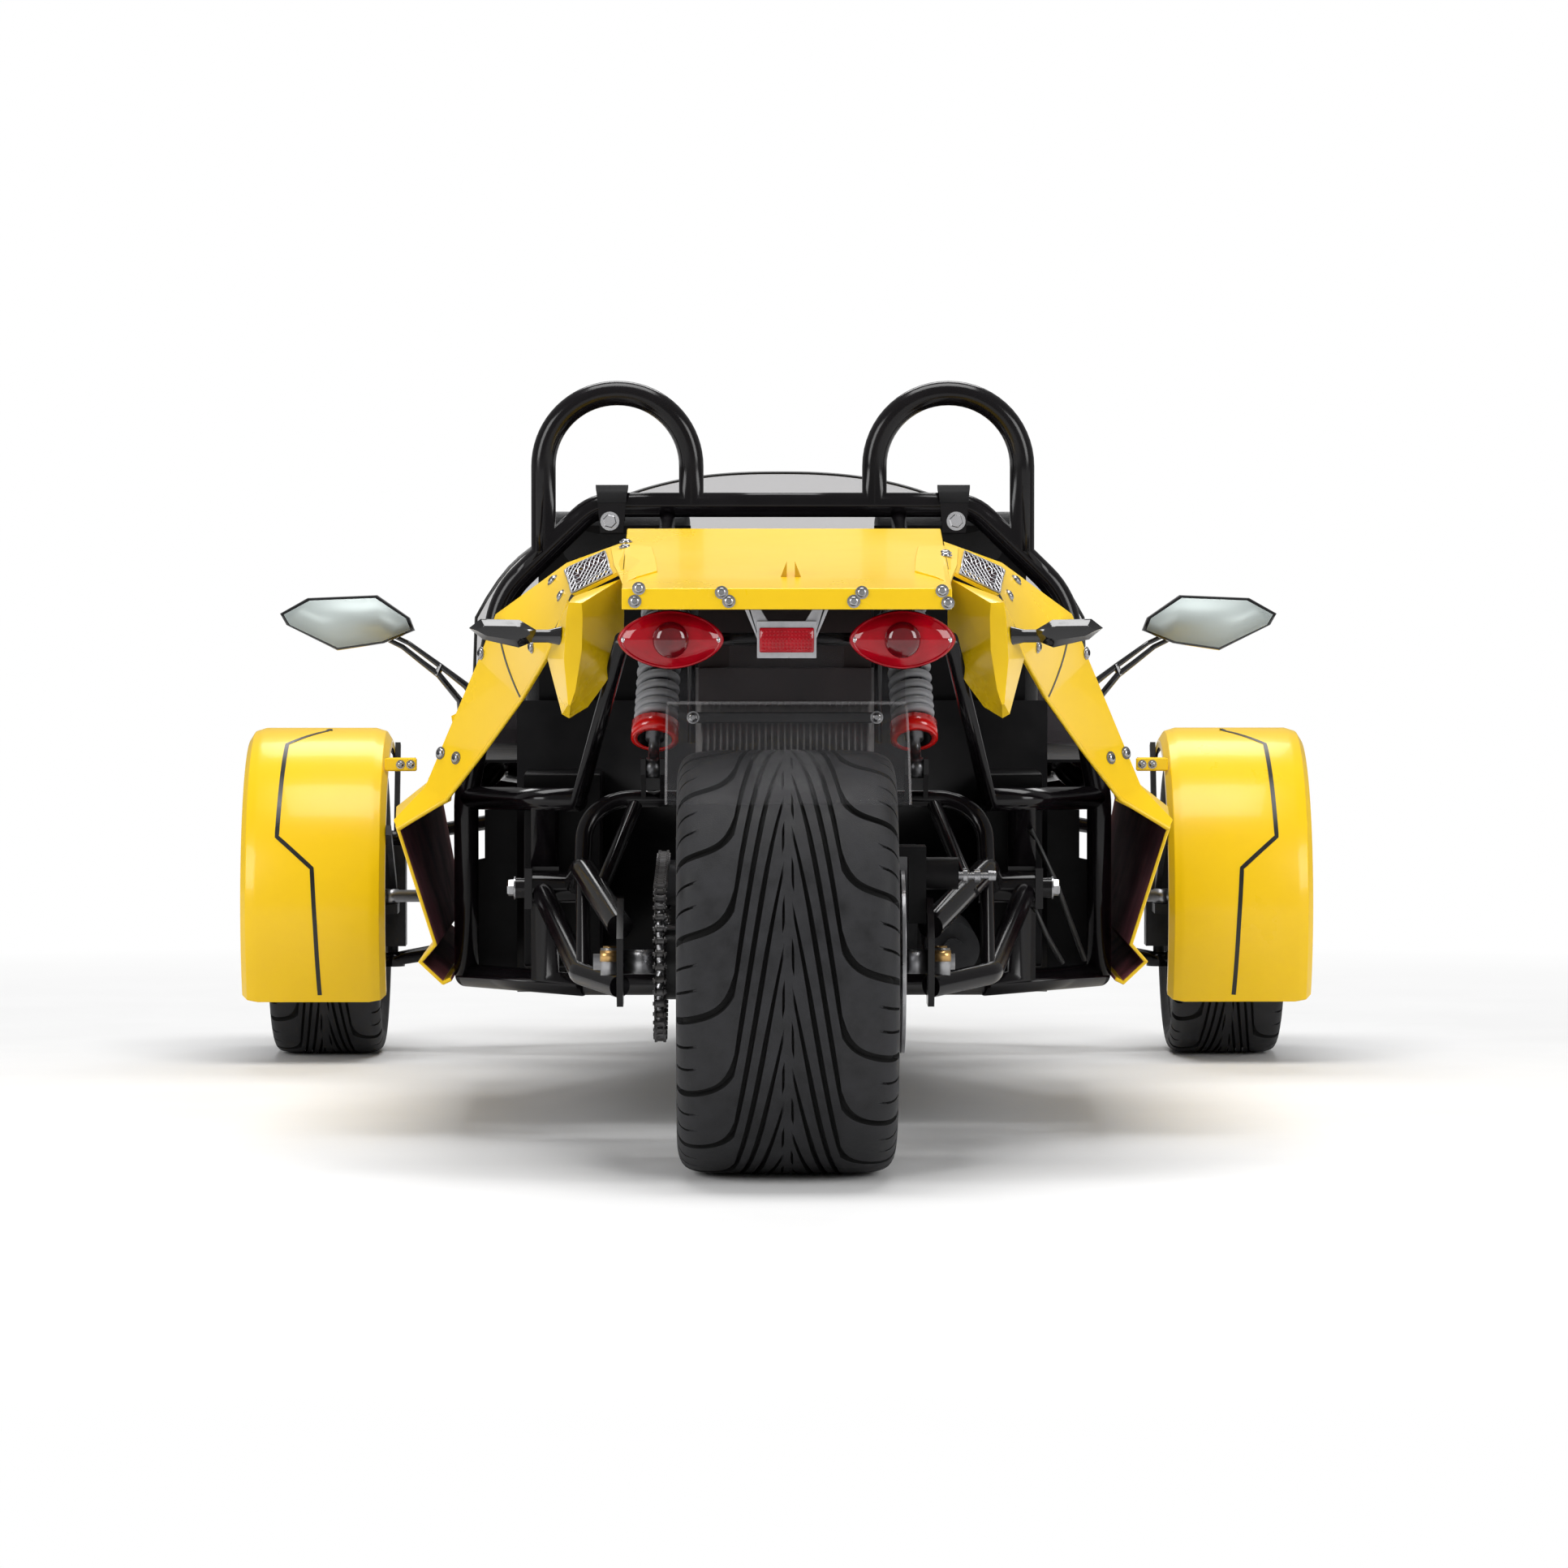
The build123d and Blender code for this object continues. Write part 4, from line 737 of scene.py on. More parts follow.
def seat_pads():
    """The pads of one seat as closed boxes that follow its side outline, about X = 0."""
    def pad(line_low, line_high, x0, x1, parts):
        rings = []
        for i in range(parts + 1):
            t = i / parts
            low = line_low(t)
            high = line_high(t)
            rings.append([(x0, *low), (x1, *low), (x1, *high), (x0, *high)])
        return Shape().rings(rings)

    def along(points):
        line = [Vector((REAR_Y + y, z)) for y, z in points]

        def at(t):
            place = t * (len(line) - 1)
            i = min(int(place), len(line) - 2)
            return line[i].lerp(line[i + 1], place - i)
        return at

    squab_low = along([(0.83, 0.232), (1.125, 0.232)])
    squab_high = along([(0.83, 0.262), (0.96, 0.28), (1.09, 0.303), (1.125, 0.29)])
    back_low = along([(0.745, 0.262), (0.69, 0.52), (0.616, 0.818)])
    back_high = along([(0.815, 0.285), (0.745, 0.53), (0.658, 0.814)])
    wing_low = along([(0.76, 0.232), (1.11, 0.232)])
    wing_high = along([(0.8, 0.3), (0.96, 0.318), (1.06, 0.33), (1.11, 0.312)])
    side_low = along([(0.745, 0.3), (0.69, 0.52), (0.642, 0.698)])
    side_high = along([(0.862, 0.312), (0.77, 0.54), (0.694, 0.706)])
    pads = [pad(squab_low, squab_high, -SQUAB_HALF, SQUAB_HALF, 6),
            pad(back_low, back_high, -BACK_HALF, BACK_HALF, 8)]
    for x0, x1 in SIDE_PADS:
        pads.append(pad(wing_low, wing_high, x0, x1, 6))
        pads.append(pad(side_low, side_high, x0, x1, 6))
    return pads


def swollen(shape, name, cap):
    """A padded mesh: remeshed, blown up as cloth, no point moved further than the cap."""
    mesh = bpy.data.meshes.new(name)
    mesh.from_pydata(shape.verts, [], shape.faces)
    obj = bpy.data.objects.new(name, mesh)
    scene.collection.objects.link(obj)
    bpy.context.view_layer.objects.active = obj
    obj.select_set(True)
    remesh = obj.modifiers.new("remesh", "REMESH")
    remesh.mode = "VOXEL"
    remesh.voxel_size = 0.007
    bpy.ops.object.modifier_apply(modifier="remesh")
    start = [v.co.copy() for v in obj.data.vertices]
    cloth = obj.modifiers.new("cloth", "CLOTH")
    cloth.settings.use_pressure = True
    cloth.settings.uniform_pressure_force = 4
    cloth.settings.effector_weights.gravity = 0
    for number in range(1, FRAMES + 1):
        scene.frame_set(number)
    bpy.ops.object.modifier_apply(modifier="cloth")
    scene.frame_set(1)
    for vert, home in zip(obj.data.vertices, start):
        move = vert.co - home
        if move.length > cap:
            vert.co = home + move * (cap / move.length)
    obj.select_set(False)
    verts = [v.co.copy() for v in obj.data.vertices]
    faces = [list(p.vertices) for p in obj.data.polygons]
    bpy.data.objects.remove(obj)
    return verts, faces


SEAT_X = 0.22
seat = Shape()
for number, pad in enumerate(seat_pads()):
    seat.add(*swollen(pad, f"pad_{number}", PAD_CAP))
for side, name in SIDES:
    own = Shape().add([(x + side * SEAT_X, y, z) for x, y, z in seat.verts], seat.faces)
    cushion = own.piece(f"seat_pads_{name}", "seat_cover", angle=70, nodes=("seats",))
    smooth = cushion.modifiers.new("smooth", "CORRECTIVE_SMOOTH")
    smooth.iterations = 6
    smooth.use_only_smooth = True
    tray = [[(side * SEAT_X + x, REAR_Y + y, z) for y, z in TRAY] for x in (-TRAY_HALF, TRAY_HALF)]
    Shape().rings(tray).piece(f"seat_tray_{name}", "black_plastic")


# CAD nodes: finish, smooth shading and softened edges

BEVELS = {name: width for width, names in (
    (0.0006, "rear_disc disc_left disc_right"),
    (0.0008, "plate_bracket"),
    (0.0012, "wing_left wing_right swing_arm"),
    (0.0015, "brackets rear_rim rim_left rim_right steering_column"),
    (0.0016, "tail_deck quarter_panels"),
    (0.0018, "side_pods bonnet"),
    (0.002, "knuckle_left knuckle_right controls tail_lamp_bodies cockpit_trim"),
    (0.003, "tail_fins turn_signals mirrors rear_caliper headlamps"),
    (0.004, "side_boxes front_valance engine")) for name in names.split()}
CUP_R = 0.0225
WING_INNER = 0.2555
BONNET_MIDDLE = 0.3


def faces_inward(centre, normal):
    return normal.x * (1 if centre.x < 0 else -1) > 0.25


def faces_down(centre, normal):
    return normal.z < -0.3


def in_bonnet(centre, normal):
    return normal.x * centre.x + normal.z * (centre.z - BONNET_MIDDLE) < 0 and normal.y < 0.3


def under_wing(centre, normal):
    out = Vector((0, centre.y - FRONT_Y, centre.z - FRONT_R))
    return out.length < WING_INNER and normal.dot(out) < 0


def painted_shade_in_cup(centre, normal):
    """Inside a spring cup's hollow, near the spring's own axis: these faces are painted black as painted
    shade.
    """
    low, high = REAR_SPRING if centre.y < 0 else FRONT_SPRING
    low = Vector((copysign(low[0], centre.x), *low[1:]))
    high = Vector((copysign(high[0], centre.x), *high[1:]))
    axis = (high - low).normalized()
    off = centre - low
    return (off - axis * off.dot(axis)).length < CUP_R


BACKED = {"side_pods": (faces_inward, "pod_lining_painted_reflection"), "quarter_panels": (faces_inward, "panel_back"),
          "tail_deck": (faces_down, "panel_back"), "bonnet": (in_bonnet, "panel_back"),
          "wing_left": (under_wing, "panel_back"), "wing_right": (under_wing, "panel_back"),
          # The hollow of each spring cup is painted black: painted shade.
          "spring_cups": (painted_shade_in_cup, "black_line")}
LOOKS = {"turn_signals": "gloss_black", "cooler": "fin_metal"}
for name, obj in NODES.items():
    mesh = obj.data
    if "custom_normal" in mesh.attributes:
        mesh.attributes.remove(mesh.attributes["custom_normal"])
    mesh.materials.clear()
    mesh.materials.append(FINISHES[LOOKS.get(name, SLOT_OF[name])])
    mesh.shade_smooth()
    mesh.set_sharp_from_angle(angle=radians(24))
    if name in BACKED:
        test, look = BACKED[name]
        mesh.materials.append(FINISHES[look])
        for face in mesh.polygons:
            if test(face.center, face.normal):
                face.material_index = 1
    weld = obj.modifiers.new("weld", "WELD")
    weld.merge_threshold = 0.00002
    if name in BEVELS:
        bevel = obj.modifiers.new("bevel", "BEVEL")
        bevel.width = BEVELS[name]
        bevel.segments = 2
        bevel.limit_method = "ANGLE"
        bevel.angle_limit = radians(28)
        bevel.harden_normals = True


# Stripes, seams and fasteners on the panels

wing_tree = surface("wing_left")
STRIPE = ((414, 889), (403, 901), (354, 917), (341, 1031), (384, 1070), (388, 1141), (394, 1226))
STRIPE_WIDE = 0.0062
SEAM_WIDE = 0.0045
LINE_LIFT = 0.0005
stripe = Shape()
ribbon(stripe, wing_tree, STRIPE, STRIPE_WIDE, LINE_LIFT)
stripe.piece("stripe_left", "black_tube", "black_line", "left_knuckle")
stripe.mirrored().piece("stripe_right", "black_tube", "black_line", "right_knuckle")

quarter_tree = surface("quarter_panels")
seam = Shape()
for line in (((617, 790), (640, 857), (646, 860)), ((706, 733), (694, 756), (684, 776), (674, 806))):
    ribbon(seam, quarter_tree, line, SEAM_WIDE, LINE_LIFT)
seam.both_sides().piece("panel_seams", "black_tube", "black_line")

PANEL_BOLT = 0.0062
DECK_BOLT = 0.006
panel_bolts = Shape()
for pixel in ((681, 715), (691, 734), (593, 805), (655, 797), (543, 928), (562, 934)):
    panel_bolts.bolt(*seen(quarter_tree, pixel), PANEL_BOLT)
panel_bolts.both_sides()
deck_tree = surface("tail_deck")
for pixel in ((754, 667), (766, 673), (787, 725), (889, 730), (1062, 730), (1161, 728),
              (782, 741), (898, 741), (1052, 741), (1168, 743), (1181, 680), (1188, 677)):
    panel_bolts.bolt(*seen(deck_tree, pixel), DECK_BOLT)
panel_bolts.piece("panel_bolts", "disc_steel", "bolt_steel")


# Flaps over the deck's corners and rolled edges on the quarter panels

tail_tree = surface("tail_deck", "quarter_panels")
FLAP = ((753, 676), (778, 674), (803, 675), (808, 690), (810, 705), (785, 712), (761, 719), (757, 698))
FLAP_LAYERS = (-0.0005, 0.0022)
stops = [seen(tail_tree, p) for p in FLAP]
flap = Shape().rings([[p + n * lift for p, n in stops] for lift in FLAP_LAYERS])
flap_obj = flap.both_sides().piece("deck_flaps", "yellow_paint")
soften = flap_obj.modifiers.new("bevel", "BEVEL")
soften.width = 0.0008
soften.segments = 2

INNER_EDGE = ((0.497, 0.456, 0.4), (0.434, 0.44, 0.438), (0.383, 0.4, 0.503), (0.332, 0.3, 0.572),
              (0.297, 0.18, 0.629), (0.264, 0.1, 0.706))
EDGE_R = 0.003
EDGE_STEP = 0.012
line = [Vector((-x, REAR_Y + y, z)) for x, y, z in INNER_EDGE]
path = []
for a, b in zip(line, line[1:]):
    count = max(2, int((b - a).length / EDGE_STEP))
    path += [quarter_tree.find_nearest(a.lerp(b, i / count))[0] for i in range(count)]
Shape().tube(path, EDGE_R, 10).both_sides().piece("rolled_edges", "yellow_paint", angle=60)


# Tail lamps: oval lenses with a rim, a domed bulb and two screws, and the reflector

LAMP_X = 0.141
LAMP_Z = 0.653
LENS_Y = REAR_Y - 0.0205
LENS_WIDE = 0.0648
LENS_TALL = 0.0358
LENS = ((1, -0.006, 1.75), (1, 0, 1.75), (0.99, 0.003, 1.76), (0.965, 0.0048, 1.77), (0.935, 0.005, 1.78),
        (0.915, 0.004, 1.78), (0.89, 0.0048, 1.8), (0.8, 0.008, 1.85), (0.62, 0.0118, 1.9), (0.4, 0.014, 2),
        (0.15, 0.0148, 2))
BULB = ((0.0225, 0), (0.0222, 0.004), (0.0205, 0.009), (0.0165, 0.0128), (0.01, 0.015), (0, 0.0158))
BULB_DEEP = 0.01
SCREW_X = 0.0578
SCREW_DEEP = 0.0044
SCREW_R = 0.0024
REFLECTOR_LOW = (-0.033, REAR_Y - 0.0469, 0.638)
REFLECTOR_HIGH = (0.033, REAR_Y - 0.0429, 0.668)
DOME = ((0.002, -0.0003), (0.0014, 0.0006), (0, 0.0008))
DOME_START = (-0.0286, 0.6422)
DOME_STEP = (0.0044, 0.0043)
DOME_COLUMNS, DOME_ROWS = 14, 6
BACKWARD = (0, -1, 0)


def oval(middle_x, size, deep, power):
    """A ring of the lens: an oval drawn out to its tips, at a depth toward the rear."""
    ring = []
    for a in angles(64):
        x = copysign(abs(cos(a)) ** (2 / power), cos(a))
        z = copysign(abs(sin(a)) ** (2 / power), sin(a))
        ring.append((middle_x + LENS_WIDE * size * x, LENS_Y - deep, LAMP_Z + LENS_TALL * size * z))
    return ring


lenses = Shape()
bulbs = Shape()
screws = Shape()
for side in BOTH:
    lenses.rings([oval(side * LAMP_X, *row) for row in LENS])
    bulbs.turned(BULB, (side * LAMP_X, LENS_Y - BULB_DEEP, LAMP_Z), BACKWARD, 32)
    for end in BOTH:
        screws.bolt((side * LAMP_X + end * SCREW_X, LENS_Y - SCREW_DEEP, LAMP_Z), BACKWARD, SCREW_R)
lenses.block(REFLECTOR_LOW, REFLECTOR_HIGH, 0.0012)
for row in range(DOME_ROWS):
    for column in range(DOME_COLUMNS):
        x = DOME_START[0] + DOME_STEP[0] * column
        z = DOME_START[1] + DOME_STEP[1] * row
        lenses.turned(DOME, (x, REFLECTOR_LOW[1], z), BACKWARD, 6)
lenses.piece("tail_lenses", "red_lens", angle=50, nodes=("red_lenses",))
bulbs.piece("tail_bulbs", "red_lens", "lens_bulb", angle=50)
screws.piece("lamp_screws", "disc_steel", "chrome_frame")


# Mirror housings on forked stems

MIRROR = ((0.513, 0.64), (0.52, 0.658), (0.566, 0.69), (0.664, 0.686), (0.703, 0.664), (0.694, 0.648),
          (0.622, 0.612), (0.556, 0.622))
MIRROR_MID = (0.608, 0.651)
UPPER_PRONG = ((0.56, 0.64), (0.522, 0.622), (0.478, 0.59), (0.4415, 0.562),
               (0.432, 0.548), (0.44, 0.497))
LOWER_PRONG = ((0.562, 0.632), (0.531, 0.617), (0.502, 0.594), (0.4796, 0.577),
               (0.4503, 0.541), (0.444, 0.497))


def mirror_ring(y, wide, high):
    """The mirror's outline about its middle, in parts of its size."""
    x0, z0 = MIRROR_MID
    return [(x0 + (x - x0) * wide, REAR_Y + y, z0 + (z - z0) * high) for x, z in MIRROR]


MIRROR_RINGS = ((1.2952, 0.92, 0.88), (1.2952, 0.945, 0.905), (1.292, 0.955, 0.92), (1.2925, 0.99, 0.98),
                (1.296, 1.0, 1.0), (1.308, 1.0, 1.0), (1.32, 0.9, 0.86), (1.328, 0.66, 0.6))
STEM_Y = REAR_Y + 1.314
UPPER_SIZES = (0.003, 0.0032, 0.004, 0.0052, 0.006, 0.007)
LOWER_SIZES = (0.003, 0.0036, 0.004, 0.0046, 0.005, 0.007)
STEM_BRIDGE = ((0.476, 0.592), (0.483, 0.576))
BRIDGE_R = 0.0045
mirror = Shape()
mirror.rings([mirror_ring(*row) for row in MIRROR_RINGS])
for prong, sizes in ((UPPER_PRONG, UPPER_SIZES), (LOWER_PRONG, LOWER_SIZES)):
    mirror.tube([(x, STEM_Y, z) for x, z in prong], sizes, 10)
mirror.tube([(x, STEM_Y, z) for x, z in STEM_BRIDGE], BRIDGE_R, 8)
for side, name in SIDES:
    own = mirror.mirrored() if side < 0 else mirror
    own.piece(f"mirror_{name}", "black_plastic", "gloss_black", nodes=("mirrors",))


# Screen: one bowed sheet with a dark line along its edge

bonnet_tree = surface("bonnet")
SCREEN_LOW = 0.4825
SCREEN_TALL = 0.3977
SCREEN_PEAK = 0.862
SCREEN_FALL = 1.5
CORNER_X = 0.3585
CORNER_FALL = 7.7
SHEET = 0.004
EDGE_LINE_R = 0.0022
ACROSS, UP = 60, 16


def screen_top(x):
    """Height of the screen's edge at a distance from the middle."""
    return SCREEN_PEAK - SCREEN_FALL * abs(x) ** 2.5 - CORNER_FALL * max(abs(x) - CORNER_X, 0) ** 2


def screen_point(part, z, deep=0.0):
    """A place on the screen at a part of its half width, a height and a depth into the sheet."""
    t = (z - SCREEN_LOW) / SCREEN_TALL
    half = 0.428 - 0.018 * t
    rise = 0.27 - 0.08 * t
    radius = (half ** 2 + rise ** 2) / (2 * rise)
    middle = 1.13 - 0.12 * t + rise - radius
    x = part * half
    y = sqrt(radius ** 2 - x * x)
    inner = 1 - deep / radius
    return Vector((x * inner, REAR_Y + middle + y * inner, z))


def screen_span(part):
    """Lowest and highest place of the screen at a part of its half width."""
    high = 0.7
    for _ in range(6):
        high = screen_top(screen_point(part, high).x)
    low = SCREEN_LOW
    while low < high - 0.01 and bonnet_tree.ray_cast(screen_point(part, low), Vector((0, 0, 1)), 0.3)[0]:
        low += 0.0015
    return low + 0.001, high


columns = []
rim = []
for i in range(ACROSS + 1):
    part = -1 + 2 * i / ACROSS
    low, high = screen_span(part)
    steps = [low + (high - low) * k / UP for k in range(UP + 1)]
    columns.append([screen_point(part, z) for z in steps])
    columns[-1] += [screen_point(part, z, SHEET) for z in steps[::-1]]
    middle = [screen_point(part, z, SHEET / 2) for z in steps]
    rim += middle[:-1] if i == 0 else []
    rim.append(middle[-1])
    rim += middle[-2::-1] if i == ACROSS else []
screen = Shape().rings(columns)
screen.piece("screen_sheet", "clear_plastic", "tinted_screen", angle=50, nodes=("windscreen",))
Shape().tube(rim, EDGE_LINE_R, 8).piece("screen_edge", "black_plastic", "black_line")


# Belt webbing, the cooler's shroud, painted highlights on the guard's edges and bolts of the frame

BAR_Z = 0.817
BELT_X = 0.222
BELT_THICK = 0.0022
BELT_STEPS = 24
rings = []
for k in range(BELT_STEPS + 1):
    angle = radians(8 + 207 * k / BELT_STEPS)
    reach = 0.0222 + 0.0018 * sin(3 * angle) ** 2
    half = 0.02 - 0.0012 * cos(2 * angle)
    y = HOOP_Y - reach * cos(angle)
    z = BAR_Z + reach * sin(angle)
    outer_y = y - cos(angle) * BELT_THICK
    outer_z = z + sin(angle) * BELT_THICK
    rings.append([(BELT_X - half, y, z), (BELT_X + half, y, z), (BELT_X + half, outer_y, outer_z),
                  (BELT_X - half, outer_y, outer_z)])
Shape().rings(rings).both_sides().piece("belt_loops", "black_plastic", "webbing")

SHROUD_X = 0.1085
BAR_X = 0.121
shroud = Shape()
for y0, y1, z0, z1 in ((0.238, 0.242, 0.6125, 0.757), (0.2165, 0.2225, 0.571, 0.6135)):
    shroud.block((-SHROUD_X, REAR_Y + y0, z0), (SHROUD_X, REAR_Y + y1, z1), 0.001)
shroud.piece("cooler_shroud", "black_plastic", "shroud")
cooler_bar = Shape().block((-BAR_X, REAR_Y + 0.2165, 0.544), (BAR_X, REAR_Y + 0.2235, 0.5575), 0.0015)
cooler_bar.piece("cooler_bar", "black_tube")

GUARD_R = 0.3165
GUARD_X = 0.145
GUARD_TURN = 50


def on_guard(x, turn):
    a = radians(turn)
    return (x, REAR_Y - GUARD_R * sin(a), REAR_R + GUARD_R * cos(a))


# Pale tubes along the guard's sides and crease: painted highlights of its edges.
guard_highlight = Shape()
for side in BOTH:
    guard_highlight.tube([on_guard(side * GUARD_X, GUARD_TURN * i / 24) for i in range(25)], 0.0016, 6)
guard_highlight.tube([on_guard(-GUARD_X + 2 * GUARD_X * i / 12, 1) for i in range(13)], 0.002, 6)
guard_highlight.piece("guard_painted_highlights", "clear_plastic", "painted_guard_highlight")

PIVOT_BOLT = (0.344, REAR_Y + 0.42, 0.326)
COOLER_BOLT = (0.115, REAR_Y + 0.2165, 0.551)
BELT_BOLT = (0.2245, HOOP_Y - 0.022, 0.796)
hardware = Shape()
belt_bolts = Shape()
for side in BOTH:
    hardware.hex_bolt((side * PIVOT_BOLT[0], *PIVOT_BOLT[1:]), (side, 0, 0), 0.0105)
    hardware.bolt((side * COOLER_BOLT[0], *COOLER_BOLT[1:]), BACKWARD, 0.006)
    belt_bolts.hex_bolt((side * BELT_BOLT[0], *BELT_BOLT[1:]), BACKWARD, 0.0088)
hardware.piece("frame_bolts", "disc_steel", "bolt_steel")
belt_bolts.piece("belt_bolts", "disc_steel", "chrome_frame")


# Headlamps: a bright dish with its bulb behind a domed glass

DISH = ((0.0535, 0), (0.0535, 0.005), (0.0515, 0.0075), (0.0485, 0.0075), (0.047, 0.005), (0.036, 0.0022),
        (0.02, 0.0009), (0.0125, 0.0007), (0.0125, 0.003), (0.01, 0.0055), (0.005, 0.0066), (0, 0.0068))
GLASS = ((0.048, 0.007), (0.048, 0.008), (0.04, 0.0114), (0.028, 0.014), (0.014, 0.0153), (0, 0.0157))
HEADLAMP_X = 0.285
HEADLAMP_Y = FRONT_Y + 0.2622
HEADLAMP_Z = 0.398
dish = Shape()
glass = Shape()
for side in BOTH:
    for shape, profile in ((dish, DISH), (glass, GLASS)):
        shape.turned(profile, (side * HEADLAMP_X, HEADLAMP_Y, HEADLAMP_Z), (0, 1, 0), 40)
dish.piece("headlamp_dishes", "disc_steel", "chrome_frame")
glass.piece("headlamp_glass", "clear_plastic", angle=60, nodes=("headlamp_lenses",))


# Wheel nuts and hub caps

HUB_CAP = ((0.0225, 0), (0.0225, 0.003), (0.0195, 0.0052), (0.011, 0.0068), (0, 0.0072))
HUB_X = WHEEL_X + 0.062
NUT_X = WHEEL_X + 0.06
NUT_CIRCLE = 0.03
NUT_R = 0.0045
for side, name in SIDES:
    nuts = Shape()
    for k in range(5):
        a = radians(90 + 72 * k)
        nuts.hex_bolt((side * NUT_X, FRONT_Y + NUT_CIRCLE * cos(a), FRONT_R + NUT_CIRCLE * sin(a)),
                      (side, 0, 0), NUT_R)
    nuts.turned(HUB_CAP, (side * HUB_X, FRONT_Y, FRONT_R), (side, 0, 0), 28)
    nuts.piece(f"wheel_nuts_{name}", "disc_steel", "bolt_steel", f"{name}_wheel")


# Dials on the dash, the panel behind it and fasteners of the pods and the bonnet

DIAL = ((0.026, -0.005), (0.026, 0.003), (0.0235, 0.0045), (0.0222, 0.0035), (0.0222, 0.0012), (0, 0.0012))
DIAL_X = 0.052
DIAL_Y = REAR_Y + 1.196
DIAL_Z = 0.531
NEEDLE_TURN = -0.9
dials = Shape()
marks = Shape()
for side in BOTH:
    at = Vector((side * DIAL_X, DIAL_Y, DIAL_Z))
    dials.turned(DIAL, at, BACKWARD, 36)
    for k in range(10):
        a = radians(-135 + 30 * k)
        way = Vector((sin(a), 0, cos(a)))
        marks.tube([at + way * r + Vector((0, -0.0016, 0)) for r in (0.0165, 0.0205)], 0.0006, 6)
    way = Vector((sin(NEEDLE_TURN), 0, cos(NEEDLE_TURN)))
    marks.tube([at + way * r + Vector((0, -0.0022, 0)) for r in (-0.004, 0.017)], [0.0011, 0.0005], 8)
dials.piece("dash_dials", "black_plastic", "gloss_black")
marks.piece("dial_marks", "mirror_face")

SCUTTLE_HALF = ((0.436, 0.5), (0.4525, 0.516), (0.2545, 0.615))
SCUTTLE_Y = (REAR_Y + 1.2995, REAR_Y + 1.3025)
outline = [*SCUTTLE_HALF, *((-x, z) for x, z in SCUTTLE_HALF[::-1])]
Shape().rings([[(x, y, z) for x, z in outline] for y in SCUTTLE_Y]).piece("scuttle_panel", "black_plastic")

POD_BOLTS = ((0.53, 0.432), (0.79, 0.452), (1.02, 0.454), (1.25, 0.456))
BONNET_BOLTS = ((1.52, 0.432), (1.79, 0.447), (2.0, 0.414), (2.17, 0.288))
OUTSIDE_X = 0.8
side_bolts = Shape()
for tree, places in ((surface("side_pods"), POD_BOLTS), (bonnet_tree, BONNET_BOLTS)):
    for y, z in places:
        point, normal, _, _ = tree.ray_cast(Vector((OUTSIDE_X, REAR_Y + y, z)), Vector((-1, 0, 0)))
        side_bolts.bolt(point, normal, 0.0055)
side_bolts.both_sides().piece("side_bolts", "disc_steel", "bolt_steel")


# Two louvres on the deck with painted shade on their rear faces

LOUVRE_FEET = ((961.5, 711), (969.5, 711))
LOUVRE_LONG = 0.06
LOUVRE_TALL = 0.0195
LOUVRE_SINK = Vector((0, 0, -0.001))
LOUVRE_X = 0.005547505
louvre = Shape()
left_foot, right_foot = [seen(deck_tree, pixel)[0] for pixel in LOUVRE_FEET]
tip = (left_foot + right_foot) / 2 + Vector((0, LOUVRE_LONG, 0.1))
tip = deck_tree.ray_cast(tip, Vector((0, 0, -1)))[0]
peak = right_foot + Vector((0, 0, LOUVRE_TALL))
louvre.add([left_foot + LOUVRE_SINK, right_foot + LOUVRE_SINK, peak, tip + LOUVRE_SINK],
           [(0, 1, 2), (1, 3, 2), (0, 2, 3), (0, 3, 1)])
louvre.add([(2 * LOUVRE_X - x, y, z) for x, y, z in louvre.verts], [face[::-1] for face in louvre.faces])
louvre_obj = louvre.piece("deck_louvres", "yellow_paint")
louvre_obj.data.materials.append(FINISHES["painted_shade_amber"])
# The two rear faces get the darker amber as painted shade.
for number in (0, 4):
    louvre_obj.data.polygons[number].material_index = 1


# Splash panels beside the tub, tabs on the wings and the caliper's pin

SPLASH = ((0.333, 0.19), (0.424, 0.19), (0.424, 0.345), (0.392, 0.352), (0.392, 0.432), (0.333, 0.432))
SPLASH_Y = (REAR_Y + 0.66, REAR_Y + 0.663)
splash = Shape().rings([[(x, y, z) for x, z in SPLASH] for y in SPLASH_Y])
splash.both_sides().piece("splash_panels", "black_plastic")

TAB_X = (0.576, 0.529)
TAB_Y = (0.684, 0.69)
TAB_Z = (0.426, 0.446)
TAB_BOLTS_X = (0.553, 0.538)
TAB_BOLT_Z = 0.436
for side, name in SIDES:
    low, high = sorted(side * x for x in TAB_X)
    tab = Shape().block((low, TAB_Y[0], TAB_Z[0]), (high, TAB_Y[1], TAB_Z[1]), 0.002)
    tab.piece(f"wing_tab_{name}", "yellow_paint", body=f"{name}_knuckle")
    pins = Shape()
    for x in TAB_BOLTS_X:
        pins.bolt((side * x, TAB_Y[0], TAB_BOLT_Z), BACKWARD, 0.0048)
    pins.piece(f"tab_bolts_{name}", "disc_steel", "bolt_steel", f"{name}_knuckle")

CALIPER_PIN = ((0.005, -0.004), (0.005, 0.006), (0.0095, 0.006), (0.0095, 0.011), (0.0045, 0.012),
               (0.0045, 0.02), (0.0082, 0.02), (0.0082, 0.027), (0.004, 0.028), (0.004, 0.037),
               (0.007, 0.037), (0.0062, 0.046), (0, 0.047))
pin = Shape().turned(CALIPER_PIN, (0.212, REAR_Y + 0.058, 0.361), (1, 0, 0), 18)
pin.piece("caliper_pin", "disc_steel", "bolt_steel")


# Studio: pale floor that fades to white, soft lamps

FLOOR_SIZE = 40
FLOOR_PALE = (0.86, 0.86, 0.86)
FLOOR_DIM = (0.82, 0.82, 0.82)
FADE_FROM, FADE_TO = 1.6, 3.4
WORLD_LEVEL = 0.32


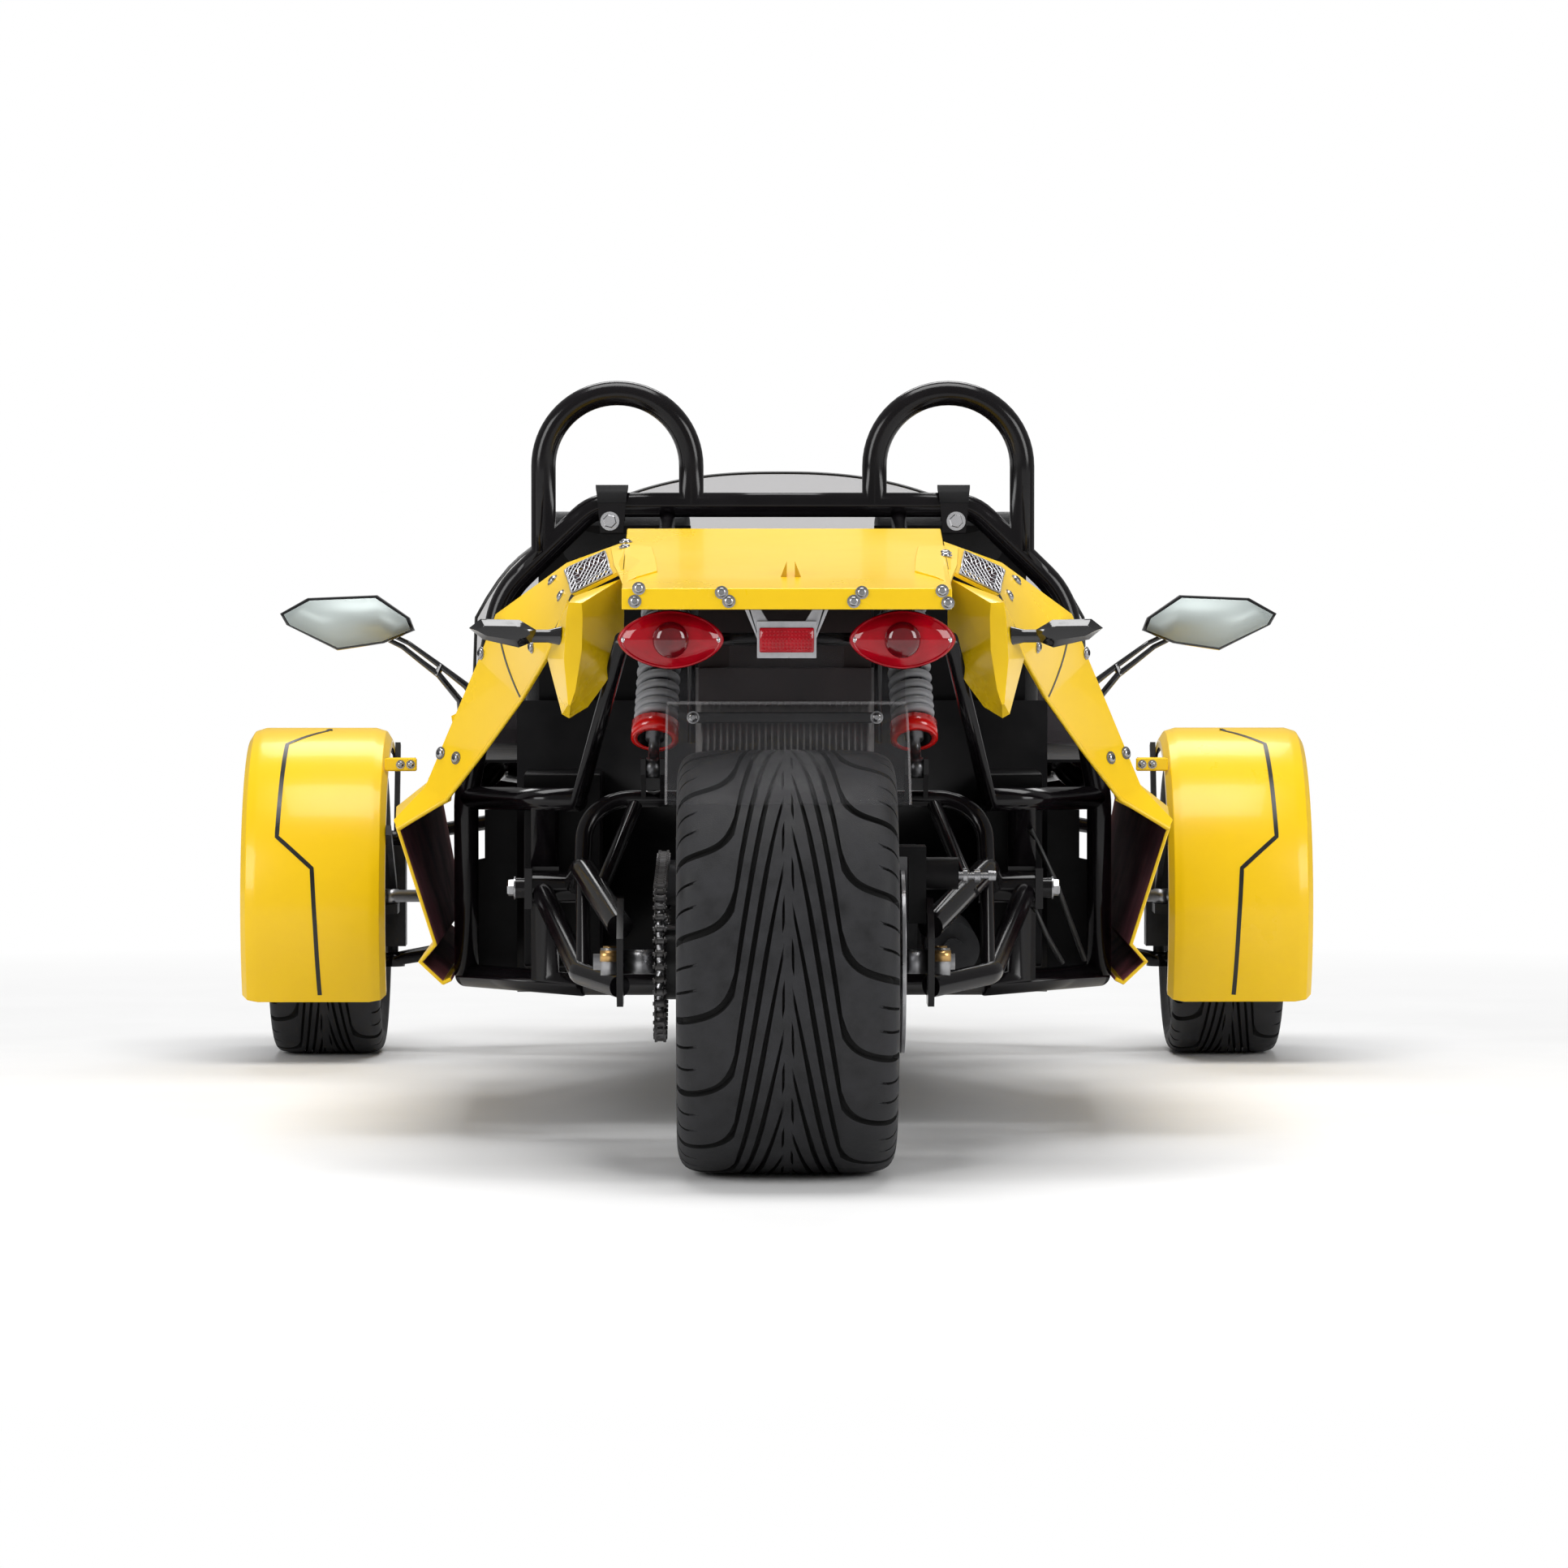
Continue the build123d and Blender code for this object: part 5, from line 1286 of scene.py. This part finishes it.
def of_rays(tree, *kinds):
    """One for rays of two kinds and zero for others."""
    path = add_node(tree, "ShaderNodeLightPath")
    shown = add_node(tree, "ShaderNodeMath", operation="MAXIMUM")
    for kind, socket in zip(kinds, shown.inputs):
        connect(tree, path.outputs[f"Is {kind} Ray"], socket)
    return shown.outputs[0]


def stage_floor():
    """A wide floor that keeps the shadow and fades to white further out."""
    mesh = bpy.data.meshes.new("floor")
    corners = [(x * FLOOR_SIZE, y * FLOOR_SIZE, 0) for x, y in ((-1, -1), (1, -1), (1, 1), (-1, 1))]
    mesh.from_pydata(corners, [], [(0, 1, 2, 3)])
    material = bpy.data.materials.new("floor")
    material.use_nodes = True
    tree = material.node_tree
    shader = tree.nodes["Principled BSDF"]
    where = add_node(tree, "ShaderNodeTexCoord").outputs["Object"]
    grain = noise(tree, where, 3, 4)
    pale = blended(tree, spread(tree, grain, 0, 1), FLOOR_PALE, FLOOR_DIM)
    connect(tree, pale, shader.inputs["Base Color"])
    shader.inputs["Roughness"].default_value = 0.8
    glow = add_node(tree, "ShaderNodeEmission")
    reach = add_node(tree, "ShaderNodeVectorMath", operation="LENGTH")
    connect(tree, where, reach.inputs[0])
    factor = add_node(tree, "ShaderNodeMath", operation="MULTIPLY")
    connect(tree, spread(tree, reach.outputs["Value"], 0, 1, FADE_FROM, FADE_TO), factor.inputs[0])
    connect(tree, of_rays(tree, "Camera", "Glossy"), factor.inputs[1])
    mix = add_node(tree, "ShaderNodeMixShader")
    connect(tree, factor.outputs[0], mix.inputs[0])
    connect(tree, shader.outputs[0], mix.inputs[1])
    connect(tree, glow.outputs[0], mix.inputs[2])
    connect(tree, mix.outputs[0], tree.nodes["Material Output"].inputs["Surface"])
    mesh.materials.append(material)
    floor = bpy.data.objects.new("floor", mesh)
    scene.collection.objects.link(floor)


stage_floor()
world = bpy.data.worlds.new("studio")
scene.world = world
world.use_nodes = True
tree = world.node_tree
background = tree.nodes["Background"]
background.inputs["Color"].default_value = (1, 1, 1, 1)
lit = spread(tree, of_rays(tree, "Camera", "Transmission"), WORLD_LEVEL, 1.0, 0, 1)
connect(tree, lit, background.inputs["Strength"])


def lamp(name, at, aim, size, power):
    data = bpy.data.lights.new(name, "AREA")
    data.shape = "RECTANGLE"
    data.size, data.size_y = size
    data.energy = power
    obj = bpy.data.objects.new(name, data)
    obj.location = at
    obj.rotation_euler = (Vector(aim) - Vector(at)).to_track_quat("-Z", "Y").to_euler()
    scene.collection.objects.link(obj)


lamp("key_top", (0, -0.6, 4.4), (0, -0.4, 0.4), (3.0, 2.0), 130)
for side, name in SIDES:
    lamp(f"{name}_soft", (side * 4.0, -3.5, 2.4), (0, -0.3, 0.5), (2.0, 2.5), 110)
lamp("front_soft", (0, 4.0, 5.0), (0, 0.5, 0.5), (4.0, 2.0), 130)

bpy.context.view_layer.update()
